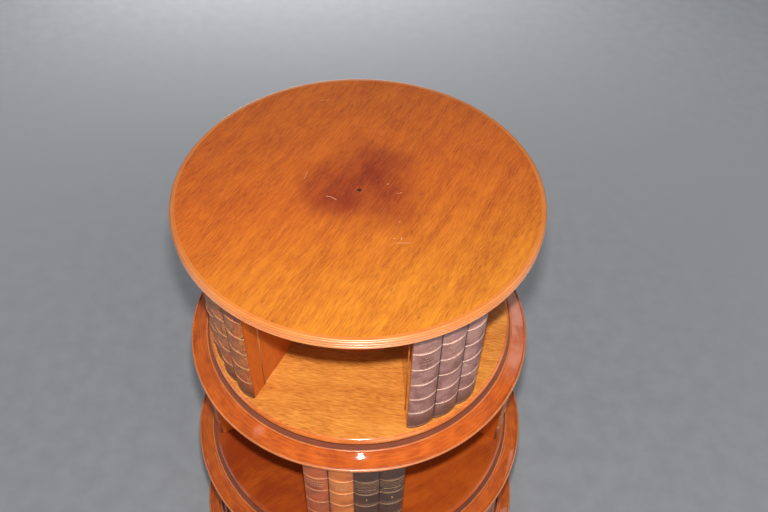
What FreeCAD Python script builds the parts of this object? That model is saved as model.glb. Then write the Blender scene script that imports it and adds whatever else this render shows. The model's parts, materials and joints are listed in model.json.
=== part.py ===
# Revolving bookcase of three round tiers, each turning on the one below.
# The tiers grow wider downwards. Each has a round floor, a central drum, four wedge-shaped
# piers faced with leather book spines, and a moulded round board on top.
# A steel spindle rises from the base through a brass bush in every floor.
# Origin: centre of the footprint on the ground. +Z is up and is the axis of every joint.
# The front is towards -Y. Sizes are in millimetres, angles in degrees.
import FreeCAD, Part
import math
import os
import re
import Sketcher

doc = FreeCAD.newDocument("revolving_bookcase")
sheet = doc.addObject("Spreadsheet::Sheet", "sizes")

SIZES = [
    ("top_overhang", 16.5, "table top's reeds, past the upper floor"),
    ("reed_count", 3, "reeds on the table top's edge"),
    ("reed_pitch", 4.4, "height of one reed"),
    ("reed_radius", 2.6, "roundness of a reed"),
    ("top_lip", 1.8, "rounded lip above the reeds"),
    ("plug_radius", 3, "plug in the centre of the table top"),
    ("plug_length", 8, ""),
    ("board_thickness", 16, "moulded board, at its inner lip"),
    ("rim_width", 27.5, "moulding, from the board's edge to its inner lip"),
    ("rim_lip", 3, "flat top of the inner lip"),
    ("rim_step", 1.6, "step between the lip and the face"),
    ("rim_bead", 2.6, "half-round bead along the bottom edge"),
    ("rim_quirk", 3.6, "from the board's edge to the foot of the face"),
    ("rim_face_radius", 150, "roundness of the sloping face"),
    ("board_recess", 3.5, "board's flat top, below the lip"),
    ("floor_play", 3.5, "from a floor's edge to the lip of the board below it"),
    ("upper_floor_radius", 237.5, ""),
    ("middle_floor_radius", 265, ""),
    ("lower_floor_radius", 286, ""),
    ("floor_thickness", 10.5, ""),
    ("floor_top_round", 6.5, "rounding of the floor's upper edge"),
    ("floor_bottom_round", 3, "rounding of the floor's lower edge"),
    ("turntable_height", 10, "from the board's flat top to the floor's underside"),
    ("bay_height", 243, "clear height of a tier, floor to board"),
    ("upper_phase", -57.8, "direction of the first pier, from +X"),
    ("middle_phase", -92.2, ""),
    ("lower_phase", -28, ""),
    ("pier_count", 4, "piers in a tier"),
    ("drum_radius", 88, "central drum"),
    ("drum_wall", 9, ""),
    ("drum_play", 2, "from the drum to a cheek panel that reaches it"),
    ("face_setback", 6, "crown of the book spines, behind the floor's edge"),
    ("upper_book_width", 41.1, ""),
    ("middle_book_width", 38.5, ""),
    ("lower_book_width", 39.1, ""),
    ("upper_book_count", 3, "spines in one pier"),
    ("middle_book_count", 4, ""),
    ("lower_book_count", 5, ""),
    ("upper_band_pitch", 35, "between the raised bands"),
    ("middle_band_pitch", 38.4, ""),
    ("lower_band_pitch", 38.4, ""),
    ("first_band", 40.5, "lowest band, above the floor"),
    ("band_count", 5, ""),
    ("band_height", 4, ""),
    ("band_rise", 1.5, "how far a band stands off the spine"),
    ("spine_side", 3, "spine's thickness at its sides"),
    ("spine_round", 4, "spine's crown above its sides"),
    ("spine_gap", 0.5, "between neighbouring spines"),
    ("spine_headroom", 2.5, "above the spines"),
    ("cheek_angle", 30, "cheek against the pier's centre line"),
    ("stile_width", 26, "stile, along the cheek"),
    ("stile_front", 13, "stile's front end, along the arc of the backs"),
    ("panel_thickness", 8, ""),
    ("panel_setback", 1.5, "panel, behind the stile's outer face"),
    ("mitre_gap", 0.2, "glue line between the two panels of a pier"),
    ("backing_depth", 14, "backing board, along the stile"),
    ("race_inner", 106, "turntable races, inner radius"),
    ("race_outer", 134, ""),
    ("race_thickness", 3.2, ""),
    ("ball_radius", 3, ""),
    ("ball_count", 20, "balls in one turntable"),
    ("ball_clearance", 0.05, "ball in its groove"),
    ("screw_count", 4, "screws in one race"),
    ("screw_radius", 1.5, ""),
    ("screw_length", 9, "under the head"),
    ("screw_head_radius", 3.2, ""),
    ("screw_head_height", 1.4, ""),
    ("loose_fit", 0.05, "screws, pegs, washer and nut, at the radius"),
    ("pilot_spare", 1, "pilot hole, past the screw's point"),
    ("cut_spare", 1, "a through hole's tool, past each face"),
    ("screw_edge", 5, "screws, from the edge of a race"),
    ("spindle_radius", 8, ""),
    ("spindle_clearance", 0.05, "spindle in a bush, at the radius"),
    ("bush_wall", 4, ""),
    ("bush_flange", 5, "flange, past the bush"),
    ("bush_flange_height", 2, ""),
    ("bush_fit", 0.02, "bush in its hub and hub in its floor, at the radius"),
    ("hub_radius", 60, "disc let into the middle of a floor, which holds its bush"),
    ("board_hole_play", 4, "hole in a moulded board, past the spindle"),
    ("flange_radius", 55, "plate at the foot of the spindle"),
    ("flange_thickness", 6, ""),
    ("flange_screw_edge", 15, "screws, from the plate's edge"),
    ("flange_screw_length", 16, ""),
    ("nut_gap", 0.5, "under the washer"),
    ("washer_width", 7, "washer, past the spindle"),
    ("washer_thickness", 2.5, ""),
    ("nut_wall", 4, "nut, from its bore to a flat"),
    ("nut_height", 10, ""),
    ("thread_proud", 5, "spindle above the nut"),
    ("plinth_setback", 19, "plinth, behind the base board's edge"),
    ("plinth_wall", 52, ""),
    ("plinth_height", 62, ""),
    ("plinth_moulding", 8, "how far the foot moulding stands out"),
    ("plinth_moulding_height", 14, ""),
    ("plinth_cove", 9, "height of the cove above the foot moulding"),
    ("foot_count", 4, ""),
    ("foot_radius", 27, ""),
    ("foot_height", 48, ""),
    ("foot_sole", 15, "radius of the foot on the ground and under the plinth"),
    ("foot_neck_height", 6, ""),
    ("foot_setback", 26, "centre of a foot, behind the plinth's face"),
    ("foot_spigot", 8, "radius of the peg in the plinth"),
    ("foot_spigot_length", 22, ""),
    ("foot_phase", 45, "direction of the first foot, from +X"),
]
ALIASES = [alias for alias, size, meaning in SIZES]
for row, (alias, size, meaning) in enumerate(SIZES, start=1):
    sheet.set(f"A{row}", alias)
    sheet.set(f"B{row}", str(size))
    sheet.set(f"C{row}", meaning)
    sheet.setAlias(f"B{row}", alias)
doc.recompute()

# Heights and fits that follow from the sizes, each a formula on the sheet's names
DERIVED = {
    "top_radius": "upper_floor_radius + top_overhang",
    "middle_board_radius": "upper_floor_radius + floor_play + rim_width",
    "lower_board_radius": "middle_floor_radius + floor_play + rim_width",
    "base_board_radius": "lower_floor_radius + floor_play + rim_width",
    "plinth_radius": "base_board_radius - plinth_setback",
    "foot_circle": "plinth_radius - foot_setback",
    "board_flat": "board_thickness - board_recess",
    "floor_seat": "board_flat + turntable_height",
    "floor_level": "floor_seat + floor_thickness",
    "tier_pitch": "floor_level + bay_height",
    "base_level": "foot_height + plinth_height",
    "lower_level": "base_level + floor_seat",
    "middle_level": "lower_level + tier_pitch",
    "upper_level": "middle_level + tier_pitch",
    "top_thickness": "reed_count * reed_pitch + top_lip",
    "reed_depth": "reed_radius - sqrt(reed_radius ^ 2 - (reed_pitch / 2) ^ 2)",
    "book_height": "bay_height - spine_headroom",
    "ball_circle": "(race_inner + race_outer) / 2",
    "groove_radius": "ball_radius + ball_clearance",
    "groove_half": "sqrt(groove_radius ^ 2 - (turntable_height / 2 - race_thickness) ^ 2)",
    "board_hole": "spindle_radius + board_hole_play",
    "flange_screw_circle": "flange_radius - flange_screw_edge",
    "spindle_hole": "spindle_radius + loose_fit",
    "nut_corner": "(spindle_hole + nut_wall) * 2 / sqrt(3)",
    "screw_hole": "screw_radius + loose_fit",
    "bush_bore": "spindle_radius + spindle_clearance",
    "bush_radius": "bush_bore + bush_wall",
    "pilot_depth": "screw_length - race_thickness + pilot_spare",
    "lower_screw_circle": "race_outer - screw_edge",
    "upper_screw_circle": "race_inner + screw_edge",
    "washer_level": "upper_level + floor_thickness + bush_flange_height + nut_gap",
    "nut_level": "washer_level + washer_thickness",
    "spindle_top": "nut_level + nut_height + thread_proud",
}
for tier in ("upper", "middle", "lower"):
    DERIVED[f"{tier}_bay_level"] = f"{tier}_level + floor_thickness"
    DERIVED[f"{tier}_board_level"] = f"{tier}_level + floor_thickness + bay_height"
    DERIVED[f"{tier}_face_radius"] = f"{tier}_floor_radius - face_setback"
    DERIVED[f"{tier}_seat"] = f"{tier}_face_radius - spine_side - spine_round"
    DERIVED[f"{tier}_book_angle"] = f"{tier}_book_width / {tier}_face_radius * 180 / pi"
    DERIVED[f"{tier}_pier_half"] = f"{tier}_book_count * {tier}_book_angle / 2"


def formula(text):
    """Write a formula out in the sheet's own names, as setExpression reads it."""
    def spell(match):
        word = match.group(0)
        if word in DERIVED:
            return f"({formula(DERIVED[word])})"
        return f"sizes.{word}" if word in ALIASES else word
    return re.sub(r"[a-z][a-z_]+", spell, str(text))


def value(text):
    """Work a formula out as a number."""
    result = sheet.evalExpression(formula(text))
    return float(getattr(result, "Value", result))


def bind(thing, prop, text):
    """Tie a property to the sheet."""
    thing.setExpression(prop, formula(text))


def new_body(label, level="0", turn="0"):
    """Start a sub-part whose own origin lies on the spindle's axis at a level, turned about it."""
    body = doc.addObject("PartDesign::Body", label)
    body.Label = label
    body.AllowCompound = True
    body.Placement = FreeCAD.Placement(
        FreeCAD.Vector(0, 0, value(level)), FreeCAD.Rotation(FreeCAD.Vector(0, 0, 1), value(turn)))
    bind(body, "Placement.Base.z", level)
    bind(body, "Placement.Rotation.Angle", turn)
    return body


def new_sketch(body, role, name, offset="0"):
    """Attach a sketch to one of the body's own planes, raised off it by an offset."""
    sketch = body.newObject("Sketcher::SketchObject", name)
    plane = next(item for item in body.Origin.OriginFeatures if item.Role == role)
    sketch.AttachmentSupport = [(plane, "")]
    sketch.MapMode = "FlatFace"
    bind(sketch, "AttachmentOffset.Base.z", offset)
    return sketch


def draw(sketch, corners, arcs=None):
    """Draw a closed outline through corners, each a pair of formulas, all tied to the sheet.

    arcs gives, for the stretch that leaves a corner, its radius and the side on which its
    centre lies: 1 to the left of the way along the outline, -1 to the right. A radius of None
    makes a half circle.
    """
    arcs = arcs or {}
    first = sketch.GeometryCount
    points = [FreeCAD.Vector(value(x), value(y), 0) for x, y in corners]
    starts = []
    for index, start in enumerate(points):
        end = points[(index + 1) % len(points)]
        if index not in arcs:
            sketch.addGeometry(Part.LineSegment(start, end), False)
            starts.append((1, 2))
            continue
        radius, side = arcs[index]
        chord = end - start
        size = value(radius) if radius else chord.Length / 2
        rise = math.sqrt(max(size ** 2 - (chord.Length / 2) ** 2, 0))
        left = FreeCAD.Vector(-chord.y, chord.x, 0).normalize()
        centre = (start + end) * 0.5 + left * (rise * side)
        a_end, b_end = (start, end) if side > 0 else (end, start)
        low = math.atan2(a_end.y - centre.y, a_end.x - centre.x)
        high = math.atan2(b_end.y - centre.y, b_end.x - centre.x)
        high += 2 * math.pi if high <= low else 0
        circle = Part.Circle(centre, FreeCAD.Vector(0, 0, 1), size)
        sketch.addGeometry(Part.ArcOfCircle(circle, low, high), False)
        starts.append((1, 2) if side > 0 else (2, 1))
    for index, (x, y) in enumerate(corners):
        after = (index + 1) % len(corners)
        here, there = first + index, first + after
        sketch.addConstraint(Sketcher.Constraint(
            "Coincident", here, starts[index][1], there, starts[after][0]))
        for kind, text, place in (("DistanceX", x, points[index].x), ("DistanceY", y, points[index].y)):
            number = sketch.addConstraint(Sketcher.Constraint(
                kind, -1, 1, here, starts[index][0], place))
            bind(sketch, f"Constraints[{number}]", text)
        if index not in arcs:
            continue
        radius = arcs[index][0]
        if radius is None:
            sketch.addConstraint(Sketcher.Constraint("Symmetric", here, 1, here, 2, here, 3))
        else:
            number = sketch.addConstraint(Sketcher.Constraint("Radius", here, value(radius)))
            bind(sketch, f"Constraints[{number}]", radius)


def add_circle(sketch, x, y, radius):
    """Draw a circle whose centre and radius are tied to the sheet."""
    centre = FreeCAD.Vector(value(x), value(y), 0)
    number = sketch.addGeometry(Part.Circle(centre, FreeCAD.Vector(0, 0, 1), value(radius)), False)
    for kind, text, size in (("DistanceX", x, centre.x), ("DistanceY", y, centre.y)):
        tie = sketch.addConstraint(Sketcher.Constraint(kind, -1, 1, number, 3, size))
        bind(sketch, f"Constraints[{tie}]", text)
    tie = sketch.addConstraint(Sketcher.Constraint("Radius", number, value(radius)))
    bind(sketch, f"Constraints[{tie}]", radius)


def revolve(body, sketch, about="V_Axis"):
    """Turn a profile a full circle."""
    feature = body.newObject("PartDesign::Revolution", f"{sketch.Name}_turned")
    feature.Profile = sketch
    feature.ReferenceAxis = (sketch, [about])
    feature.Angle = 360
    body.Tip = feature
    return feature


def pad(body, sketch, length):
    """Raise an outline by a length that is tied to the sheet."""
    feature = body.newObject("PartDesign::Pad", f"{sketch.Name}_raised")
    feature.Profile = sketch
    bind(feature, "Length", length)
    body.Tip = feature
    return feature


def pocket(body, sketch, depth, upwards):
    """Cut an outline away, upwards or downwards from its plane."""
    feature = body.newObject("PartDesign::Pocket", f"{sketch.Name}_cut")
    feature.Profile = sketch
    feature.Reversed = upwards
    bind(feature, "Length", depth)
    body.Tip = feature
    return feature


def around(body, feature, sketch, count, spread="360", axis="N_Axis"):
    """Repeat a feature about the spindle's axis."""
    pattern = body.newObject("PartDesign::PolarPattern", f"{feature.Name}_around")
    pattern.Originals = [feature]
    pattern.Axis = (sketch, [axis])
    bind(pattern, "Angle", spread)
    bind(pattern, "Occurrences", count)
    body.Tip = pattern
    return pattern


def turned(label, corners, arcs=None, level="0", turn="0", axis=None):
    """Make a turned sub-part from its profile: distance from the spindle and height of each corner.

    axis is the distance from the spindle of the piece's own axis, where that isn't the spindle's.
    """
    body = new_body(label, level, turn)
    sketch = new_sketch(body, "XZ_Plane", f"{label}_profile")
    draw(sketch, corners, arcs)
    if axis is None:
        revolve(body, sketch)
        return body
    number = sketch.addGeometry(Part.LineSegment(
        FreeCAD.Vector(value(axis), 0, 0), FreeCAD.Vector(value(axis), 1, 0)), True)
    for end, height in ((1, 0), (2, 1)):
        sketch.addConstraint(Sketcher.Constraint("DistanceY", -1, 1, number, end, height))
        tie = sketch.addConstraint(Sketcher.Constraint("DistanceX", -1, 1, number, end, value(axis)))
        bind(sketch, f"Constraints[{tie}]", axis)
    revolve(body, sketch, "Axis0")
    return body


def drill(body, circle, radius, depth, level="0", count="screw_count"):
    """Bore a ring of holes upwards from a level, about the spindle's axis."""
    sketch = new_sketch(body, "XY_Plane", f"{body.Name}_holes", level)
    add_circle(sketch, circle, "0", radius)
    hole = pocket(body, sketch, depth, True)
    around(body, hole, sketch, count)


def screws(label, circle, level, turn, head_up, length="screw_length"):
    """Make a ring of round-headed screws whose heads rest on a level, points down or up."""
    down = "-1" if head_up else "1"
    body = turned(label, [
        (circle, f"{down} * {length}"),
        (f"{circle} + screw_radius", f"{down} * ({length} - screw_radius)"),
        (f"{circle} + screw_radius", "0"),
        (f"{circle} + screw_head_radius", "0"),
        (f"{circle} + screw_head_radius", f"-{down} * screw_head_height / 2"),
        (f"{circle} + screw_head_radius / 2", f"-{down} * screw_head_height"),
        (circle, f"-{down} * screw_head_height"),
    ], None, level, turn, circle)
    around(body, body.Tip, body.Tip.Profile[0], "screw_count", axis="V_Axis")
    return body


def moulded_board(label, level, turn):
    """Make a round board with a moulded edge, a hole for the spindle and pilot holes for a race."""
    edge = f"{label}_radius"
    lip = f"{edge} - rim_width"
    body = turned(label, [
        ("board_hole", "0"),
        (f"{edge} - rim_bead", "0"),
        (f"{edge} - rim_bead", "2 * rim_bead"),
        (f"{edge} - rim_quirk", "2 * rim_bead"),
        (f"{lip} + rim_lip", "board_thickness - rim_step"),
        (f"{lip} + rim_lip", "board_thickness"),
        (lip, "board_thickness"),
        (lip, "board_flat"),
        ("board_hole", "board_flat"),
    ], {1: (None, 1), 3: ("rim_face_radius", 1)}, level, turn)
    drill(body, "lower_screw_circle", "screw_hole", "pilot_depth",
          "board_flat - pilot_depth")
    return body


def floor(tier):
    """Make a tier's round floor, with pilot holes for its race and a hub for its bush."""
    edge, hole = f"{tier}_floor_radius", "hub_radius + bush_fit"
    body = new_body(f"{tier}_floor", f"{tier}_level", f"{tier}_phase")
    sketch = new_sketch(body, "XZ_Plane", f"{tier}_floor_profile")
    draw(sketch, [
        (hole, "0"),
        (f"{edge} - floor_bottom_round", "0"),
        (edge, "floor_bottom_round"),
        (edge, "floor_thickness - floor_top_round"),
        (f"{edge} - floor_top_round", "floor_thickness"),
        (hole, "floor_thickness"),
    ], {1: ("floor_bottom_round", 1), 3: ("floor_top_round", 1)})
    draw(sketch, [
        ("bush_radius + bush_fit", "0"),
        ("hub_radius", "0"),
        ("hub_radius", "floor_thickness"),
        ("bush_radius + bush_fit", "floor_thickness"),
    ])
    revolve(body, sketch)
    drill(body, "upper_screw_circle", "screw_hole", "pilot_depth")
    return body


def drum(tier):
    """Make the tube between a tier's floor and the board above it."""
    return turned(f"{tier}_drum", [
        ("drum_radius - drum_wall", "0"),
        ("drum_radius", "0"),
        ("drum_radius", "bay_height"),
        ("drum_radius - drum_wall", "bay_height"),
    ], None, f"{tier}_bay_level", f"{tier}_phase")


def pier_corners(tier):
    """Give the corners of a pier's left half in plan, as formulas.

    x runs outwards along the pier's centre line, y across it. The stile's front end lies on the
    arc of the spines' backs; its sides and the panel run back towards the centre line.
    """
    seat, half = f"{tier}_seat", f"{tier}_pier_half"
    inner = f"({half} - stile_front / {seat} * 180 / pi)"
    front_x, front_y = f"{seat} * cos({half})", f"{seat} * sin({half})"
    nose_x, nose_y = f"{seat} * cos({inner})", f"{seat} * sin({inner})"
    ahead = f"(({nose_x} - {front_x}) * cos(cheek_angle) + ({nose_y} - {front_y}) * sin(cheek_angle))"

    def back(x, y, run):
        return f"{x} - {run} * cos(cheek_angle)", f"{y} - {run} * sin(cheek_angle)"

    def inwards(point, depth):
        x, y = point
        return f"{x} + {depth} * sin(cheek_angle)", f"{y} - {depth} * cos(cheek_angle)"

    def mitre(point):
        x, y = point
        return f"{x} - ({y} - mitre_gap / 2) / tan(cheek_angle)", "mitre_gap / 2"

    tail = back(front_x, front_y, "stile_width")
    panel = inwards(tail, "panel_setback")
    panel_back = inwards(panel, "panel_thickness")
    return {
        "front": (front_x, front_y),
        "nose": (nose_x, nose_y),
        "tail": tail,
        "heel": back(nose_x, nose_y, f"(stile_width + {ahead})"),
        "panel": panel,
        "panel_back": panel_back,
        "apex": mitre(panel),
        "apex_back": mitre(panel_back),
        "backing": back(nose_x, nose_y, "backing_depth"),
    }


def mirrored(corners):
    """Give the same outline on the other side of the pier's centre line, still anticlockwise."""
    return [(x, f"-({y})") for x, y in reversed(corners)]


def pier_boards(label, tier, sketch_outlines):
    """Raise outlines to the height of the bay in all of a tier's piers."""
    body = new_body(label, f"{tier}_bay_level", f"{tier}_phase")
    sketch = new_sketch(body, "XY_Plane", f"{label}_plan")
    for corners, arcs in sketch_outlines:
        draw(sketch, corners, arcs)
    boards = pad(body, sketch, "bay_height")
    around(body, boards, sketch, "pier_count")
    return body


def stiles(tier):
    """Make the front posts, two to a pier."""
    at = pier_corners(tier)
    outline = [at["front"], at["tail"], at["heel"], at["nose"]]
    arc = (f"{tier}_seat", 1)
    return pier_boards(f"{tier}_stiles", tier, [
        (outline, {3: arc}), (mirrored(outline), {3: arc})])


def panels(tier):
    """Make the cheek panels, two to a pier, which meet in a mitre on its centre line.

    Where the drum comes before the mitre, they end at the drum instead.
    """
    at = pier_corners(tier)
    outline = [at["panel"], at["apex"], at["apex_back"], at["panel_back"]]
    body = pier_boards(f"{tier}_cheek_panels", tier, [(outline, {}), (mirrored(outline), {})])
    sketch = new_sketch(body, "XY_Plane", f"{tier}_room_for_the_drum")
    add_circle(sketch, "0", "0", "drum_radius + drum_play")
    pocket(body, sketch, "bay_height", True)
    return body


def backings(tier):
    """Make the boards that the spines are stuck to, flat behind and round in front."""
    at = pier_corners(tier)
    nose, back = at["nose"], at["backing"]
    outline = [nose, back, (back[0], f"-({back[1]})"), (nose[0], f"-({nose[1]})")]
    return pier_boards(f"{tier}_backing_boards", tier, [(outline, {3: (f"{tier}_seat", 1)})])


def spine_outline(tier, rise):
    """Draw one spine in plan: hollow back on the backing board, sides, and a rounded front."""
    seat = f"{tier}_seat"
    half = f"({tier}_book_angle / 2 - spine_gap / 2 / {seat} * 180 / pi)"
    side = f"({seat} + spine_side)"
    crown = f"({tier}_face_radius + {rise})"
    width = f"({side} * sin({half}))"
    height = f"({crown} - {side} * cos({half}))"
    corners = [
        (f"{seat} * cos({half})", f"-{seat} * sin({half})"),
        (f"{side} * cos({half})", f"-{side} * sin({half})"),
        (f"{side} * cos({half})", f"{side} * sin({half})"),
        (f"{seat} * cos({half})", f"{seat} * sin({half})"),
    ]
    front = f"({width} ^ 2 + {height} ^ 2) / (2 * {height})"
    return corners, {1: (front, 1), 3: (seat, -1)}


def books(tier, pier):
    """Make the row of spines of one pier, each with its raised bands."""
    first = f"{tier}_phase + {pier} * 360 / pier_count - {tier}_book_angle * ({tier}_book_count - 1) / 2"
    spread = f"{tier}_book_angle * ({tier}_book_count - 1)"
    label = f"{tier}_books_{pier + 1}"
    body = new_body(label, f"{tier}_bay_level", first)
    plan = new_sketch(body, "XY_Plane", f"{label}_spine")
    draw(plan, *spine_outline(tier, "0"))
    spine = pad(body, plan, "book_height")
    around(body, spine, plan, f"{tier}_book_count", spread)
    band_plan = new_sketch(body, "XY_Plane", f"{label}_band", "first_band - band_height / 2")
    draw(band_plan, *spine_outline(tier, "band_rise"))
    band = pad(body, band_plan, "band_height")
    pattern = body.newObject("PartDesign::MultiTransform", f"{label}_bands")
    pattern.Originals = [band]
    rows = body.newObject("PartDesign::LinearPattern", f"{label}_band_rows")
    rows.Direction = (band_plan, ["N_Axis"])
    bind(rows, "Length", f"{tier}_band_pitch * (band_count - 1)")
    bind(rows, "Occurrences", "band_count")
    columns = body.newObject("PartDesign::PolarPattern", f"{label}_band_columns")
    columns.Axis = (band_plan, ["N_Axis"])
    bind(columns, "Angle", spread)
    bind(columns, "Occurrences", f"{tier}_book_count")
    pattern.Transformations = [rows, columns]
    body.Tip = pattern
    return body


def race(label, level, turn, upper):
    """Make a turntable race with a groove for the balls; the upper one faces down."""
    groove = ("groove_radius", -1)
    if upper:
        low, high = "-race_thickness", "0"
        corners = [
            ("race_inner", low), ("ball_circle - groove_half", low),
            ("ball_circle + groove_half", low), ("race_outer", low),
            ("race_outer", high), ("race_inner", high)]
        arcs = {1: groove}
    else:
        low, high = "0", "race_thickness"
        corners = [
            ("race_inner", low), ("race_outer", low), ("race_outer", high),
            ("ball_circle + groove_half", high), ("ball_circle - groove_half", high),
            ("race_inner", high)]
        arcs = {3: groove}
    body = turned(label, corners, arcs, level, turn)
    circle = "upper_screw_circle" if upper else "lower_screw_circle"
    drill(body, circle, "screw_hole", "race_thickness + 2 * cut_spare",
          f"{low} - cut_spare")
    return body


def balls(tier):
    """Make the balls of the turntable under a tier."""
    body = turned(f"{tier}_turntable_balls", [
        ("ball_circle", "-ball_radius"),
        ("ball_circle", "ball_radius"),
    ], {0: (None, 1)}, f"{tier}_level - turntable_height / 2", f"{tier}_phase", "ball_circle")
    around(body, body.Tip, body.Tip.Profile[0], "ball_count", axis="V_Axis")
    return body


def bush(tier):
    """Make the flanged brass bush in the hub of a tier's floor."""
    return turned(f"{tier}_bush", [
        ("bush_bore", "0"),
        ("bush_radius", "0"),
        ("bush_radius", "floor_thickness"),
        ("bush_radius + bush_flange", "floor_thickness"),
        ("bush_radius + bush_flange", "floor_thickness + bush_flange_height"),
        ("bush_bore", "floor_thickness + bush_flange_height"),
    ], None, f"{tier}_level", f"{tier}_phase")


def tier_parts(tier, below, below_phase):
    """Make a tier's floor, drum, piers, books, bush and turntable."""
    made = [floor(tier), drum(tier), stiles(tier), panels(tier), backings(tier), bush(tier), balls(tier)]
    made += [books(tier, pier) for pier in range(int(value("pier_count")))]
    made.append(race(f"{tier}_turntable_top_race", f"{tier}_level", f"{tier}_phase", True))
    made.append(race(f"{tier}_turntable_bottom_race", f"{below} + board_flat", below_phase, False))
    made.append(screws(f"{tier}_top_race_screws", "upper_screw_circle",
                       f"{tier}_level - race_thickness", f"{tier}_phase", False))
    made.append(screws(f"{tier}_bottom_race_screws", "lower_screw_circle",
                       f"{below} + board_flat + race_thickness", below_phase, True))
    return made


def table_top():
    """Make the top of the upper tier, with a reeded edge and a hole for its plug."""
    waist = "top_radius - reed_depth"
    reeds = int(value("reed_count"))
    corners = [("0", "0")] + [(waist, f"{reed} * reed_pitch") for reed in range(reeds + 1)]
    arcs = {reed + 1: ("reed_radius", 1) for reed in range(reeds)}
    arcs[reeds + 1] = ("top_lip", 1)
    corners += [(f"{waist} - top_lip", "top_thickness"), ("0", "top_thickness")]
    body = turned("table_top", corners, arcs, "upper_board_level", "upper_phase")
    sketch = new_sketch(body, "XY_Plane", "plug_hole", "top_thickness")
    add_circle(sketch, "0", "0", "plug_radius")
    pocket(body, sketch, "plug_length", False)
    return body


def plug():
    """Make the plug in the centre of the table top, flush with it."""
    return turned("top_plug", [
        ("0", "0"), ("plug_radius", "0"), ("plug_radius", "plug_length"), ("0", "plug_length"),
    ], None, "upper_board_level + top_thickness - plug_length", "upper_phase")


def base_board():
    """Make the board that the lower tier turns on, with pilot holes for the spindle's plate."""
    body = moulded_board("base_board", "base_level", "foot_phase")
    drill(body, "flange_screw_circle", "screw_hole",
          "flange_screw_length - flange_thickness + pilot_spare")
    return body


def plinth():
    """Make the round plinth under the base board, with a moulding at its foot."""
    inner = "plinth_radius - plinth_wall"
    outer = "plinth_radius + plinth_moulding"
    body = turned("plinth", [
        (inner, "0"),
        (outer, "0"),
        (outer, "plinth_moulding_height"),
        ("plinth_radius", "plinth_moulding_height + plinth_cove"),
        ("plinth_radius", "plinth_height"),
        (inner, "plinth_height"),
    ], {2: ("plinth_cove", -1)}, "foot_height", "foot_phase")
    drill(body, "foot_circle", "foot_spigot + loose_fit", "foot_spigot_length + pilot_spare",
          count="foot_count")
    return body


def foot(number):
    """Make a turned foot with a peg that stands in the plinth."""
    belly = "foot_radius - foot_sole"
    half = "((foot_height - foot_neck_height) / 2)"
    return turned(f"foot_{number + 1}", [
        ("foot_circle", "0"),
        ("foot_circle + foot_sole", "0"),
        ("foot_circle + foot_sole", "foot_height - foot_neck_height"),
        ("foot_circle + foot_sole", "foot_height"),
        ("foot_circle + foot_spigot", "foot_height"),
        ("foot_circle + foot_spigot", "foot_height + foot_spigot_length"),
        ("foot_circle", "foot_height + foot_spigot_length"),
    ], {1: (f"({half} ^ 2 + ({belly}) ^ 2) / (2 * ({belly}))", 1)},
        "0", f"foot_phase + {number} * 360 / foot_count", "foot_circle")


def ring(label, inner, outer, height, level):
    """Make a plain round piece on the spindle's axis."""
    return turned(label, [
        (inner, "0"), (outer, "0"), (outer, height), (inner, height)], None, level)


def spindle_plate():
    """Make the plate at the spindle's foot, with holes for its screws."""
    body = ring("spindle_flange", "spindle_hole", "flange_radius", "flange_thickness",
                "base_level - flange_thickness")
    bind(body, "Placement.Rotation.Angle", "foot_phase")
    drill(body, "flange_screw_circle", "screw_hole",
          "flange_thickness + 2 * cut_spare", "-cut_spare")
    return body


def nut():
    """Make the six-sided nut that keeps the tiers on the spindle."""
    body = new_body("spindle_nut", "nut_level")
    sketch = new_sketch(body, "XY_Plane", "nut_plan")
    draw(sketch, [
        (f"nut_corner * cos({60 * side})", f"nut_corner * sin({60 * side})") for side in range(6)])
    add_circle(sketch, "0", "0", "spindle_hole")
    pad(body, sketch, "nut_height")
    return body


def base_parts():
    """Make the fixed base and the spindle."""
    made = [base_board(), plinth()]
    made += [foot(number) for number in range(int(value("foot_count")))]
    made.append(ring("spindle", "0", "spindle_radius", "spindle_top - base_level + flange_thickness",
                     "base_level - flange_thickness"))
    made.append(spindle_plate())
    made.append(screws("spindle_flange_screws", "flange_screw_circle", "base_level - flange_thickness",
                       "foot_phase", False, "flange_screw_length"))
    made.append(ring("spindle_washer", "spindle_hole", "spindle_radius + washer_width",
                     "washer_thickness", "washer_level"))
    made.append(nut())
    return made


parts = base_parts()
parts += tier_parts("lower", "base_level", "foot_phase")
parts.append(moulded_board("lower_board", "lower_board_level", "lower_phase"))
parts += tier_parts("middle", "lower_board_level", "lower_phase")
parts.append(moulded_board("middle_board", "middle_board_level", "middle_phase"))
parts += tier_parts("upper", "middle_board_level", "middle_phase")
parts += [table_top(), plug()]

doc.recompute()
for item in doc.Objects:
    if "Invalid" in item.State or "Error" in item.State:
        raise RuntimeError(f"{item.Label} failed: {item.State}")
for part in parts:
    if part.Shape.isNull() or not part.Shape.isValid() or not part.Shape.Solids:
        raise RuntimeError(f"{part.Label} has no valid solid")

os.makedirs("parts", exist_ok=True)
for part in parts:
    part.Shape.exportStep(f"parts/{part.Label}.step")
    print(f"{part.Label}: {len(part.Shape.Solids)} solids, {part.Shape.Volume:.0f} cubic mm")
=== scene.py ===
"""Looks of a round revolving bookcase: polished mahogany tiers, leather book spines and a steel spindle.

Lengths are in metres, angles in degrees unless a name says otherwise, +Z is up along the spindle
and the front is towards -Y. The CAD frame gives the place of every piece.
"""
from __future__ import annotations

import json
import logging
import math
from collections.abc import Sequence
from dataclasses import asdict, dataclass, replace
from enum import Enum

import bmesh
import bpy
import numpy as np
from mathutils import Matrix, Vector

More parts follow.
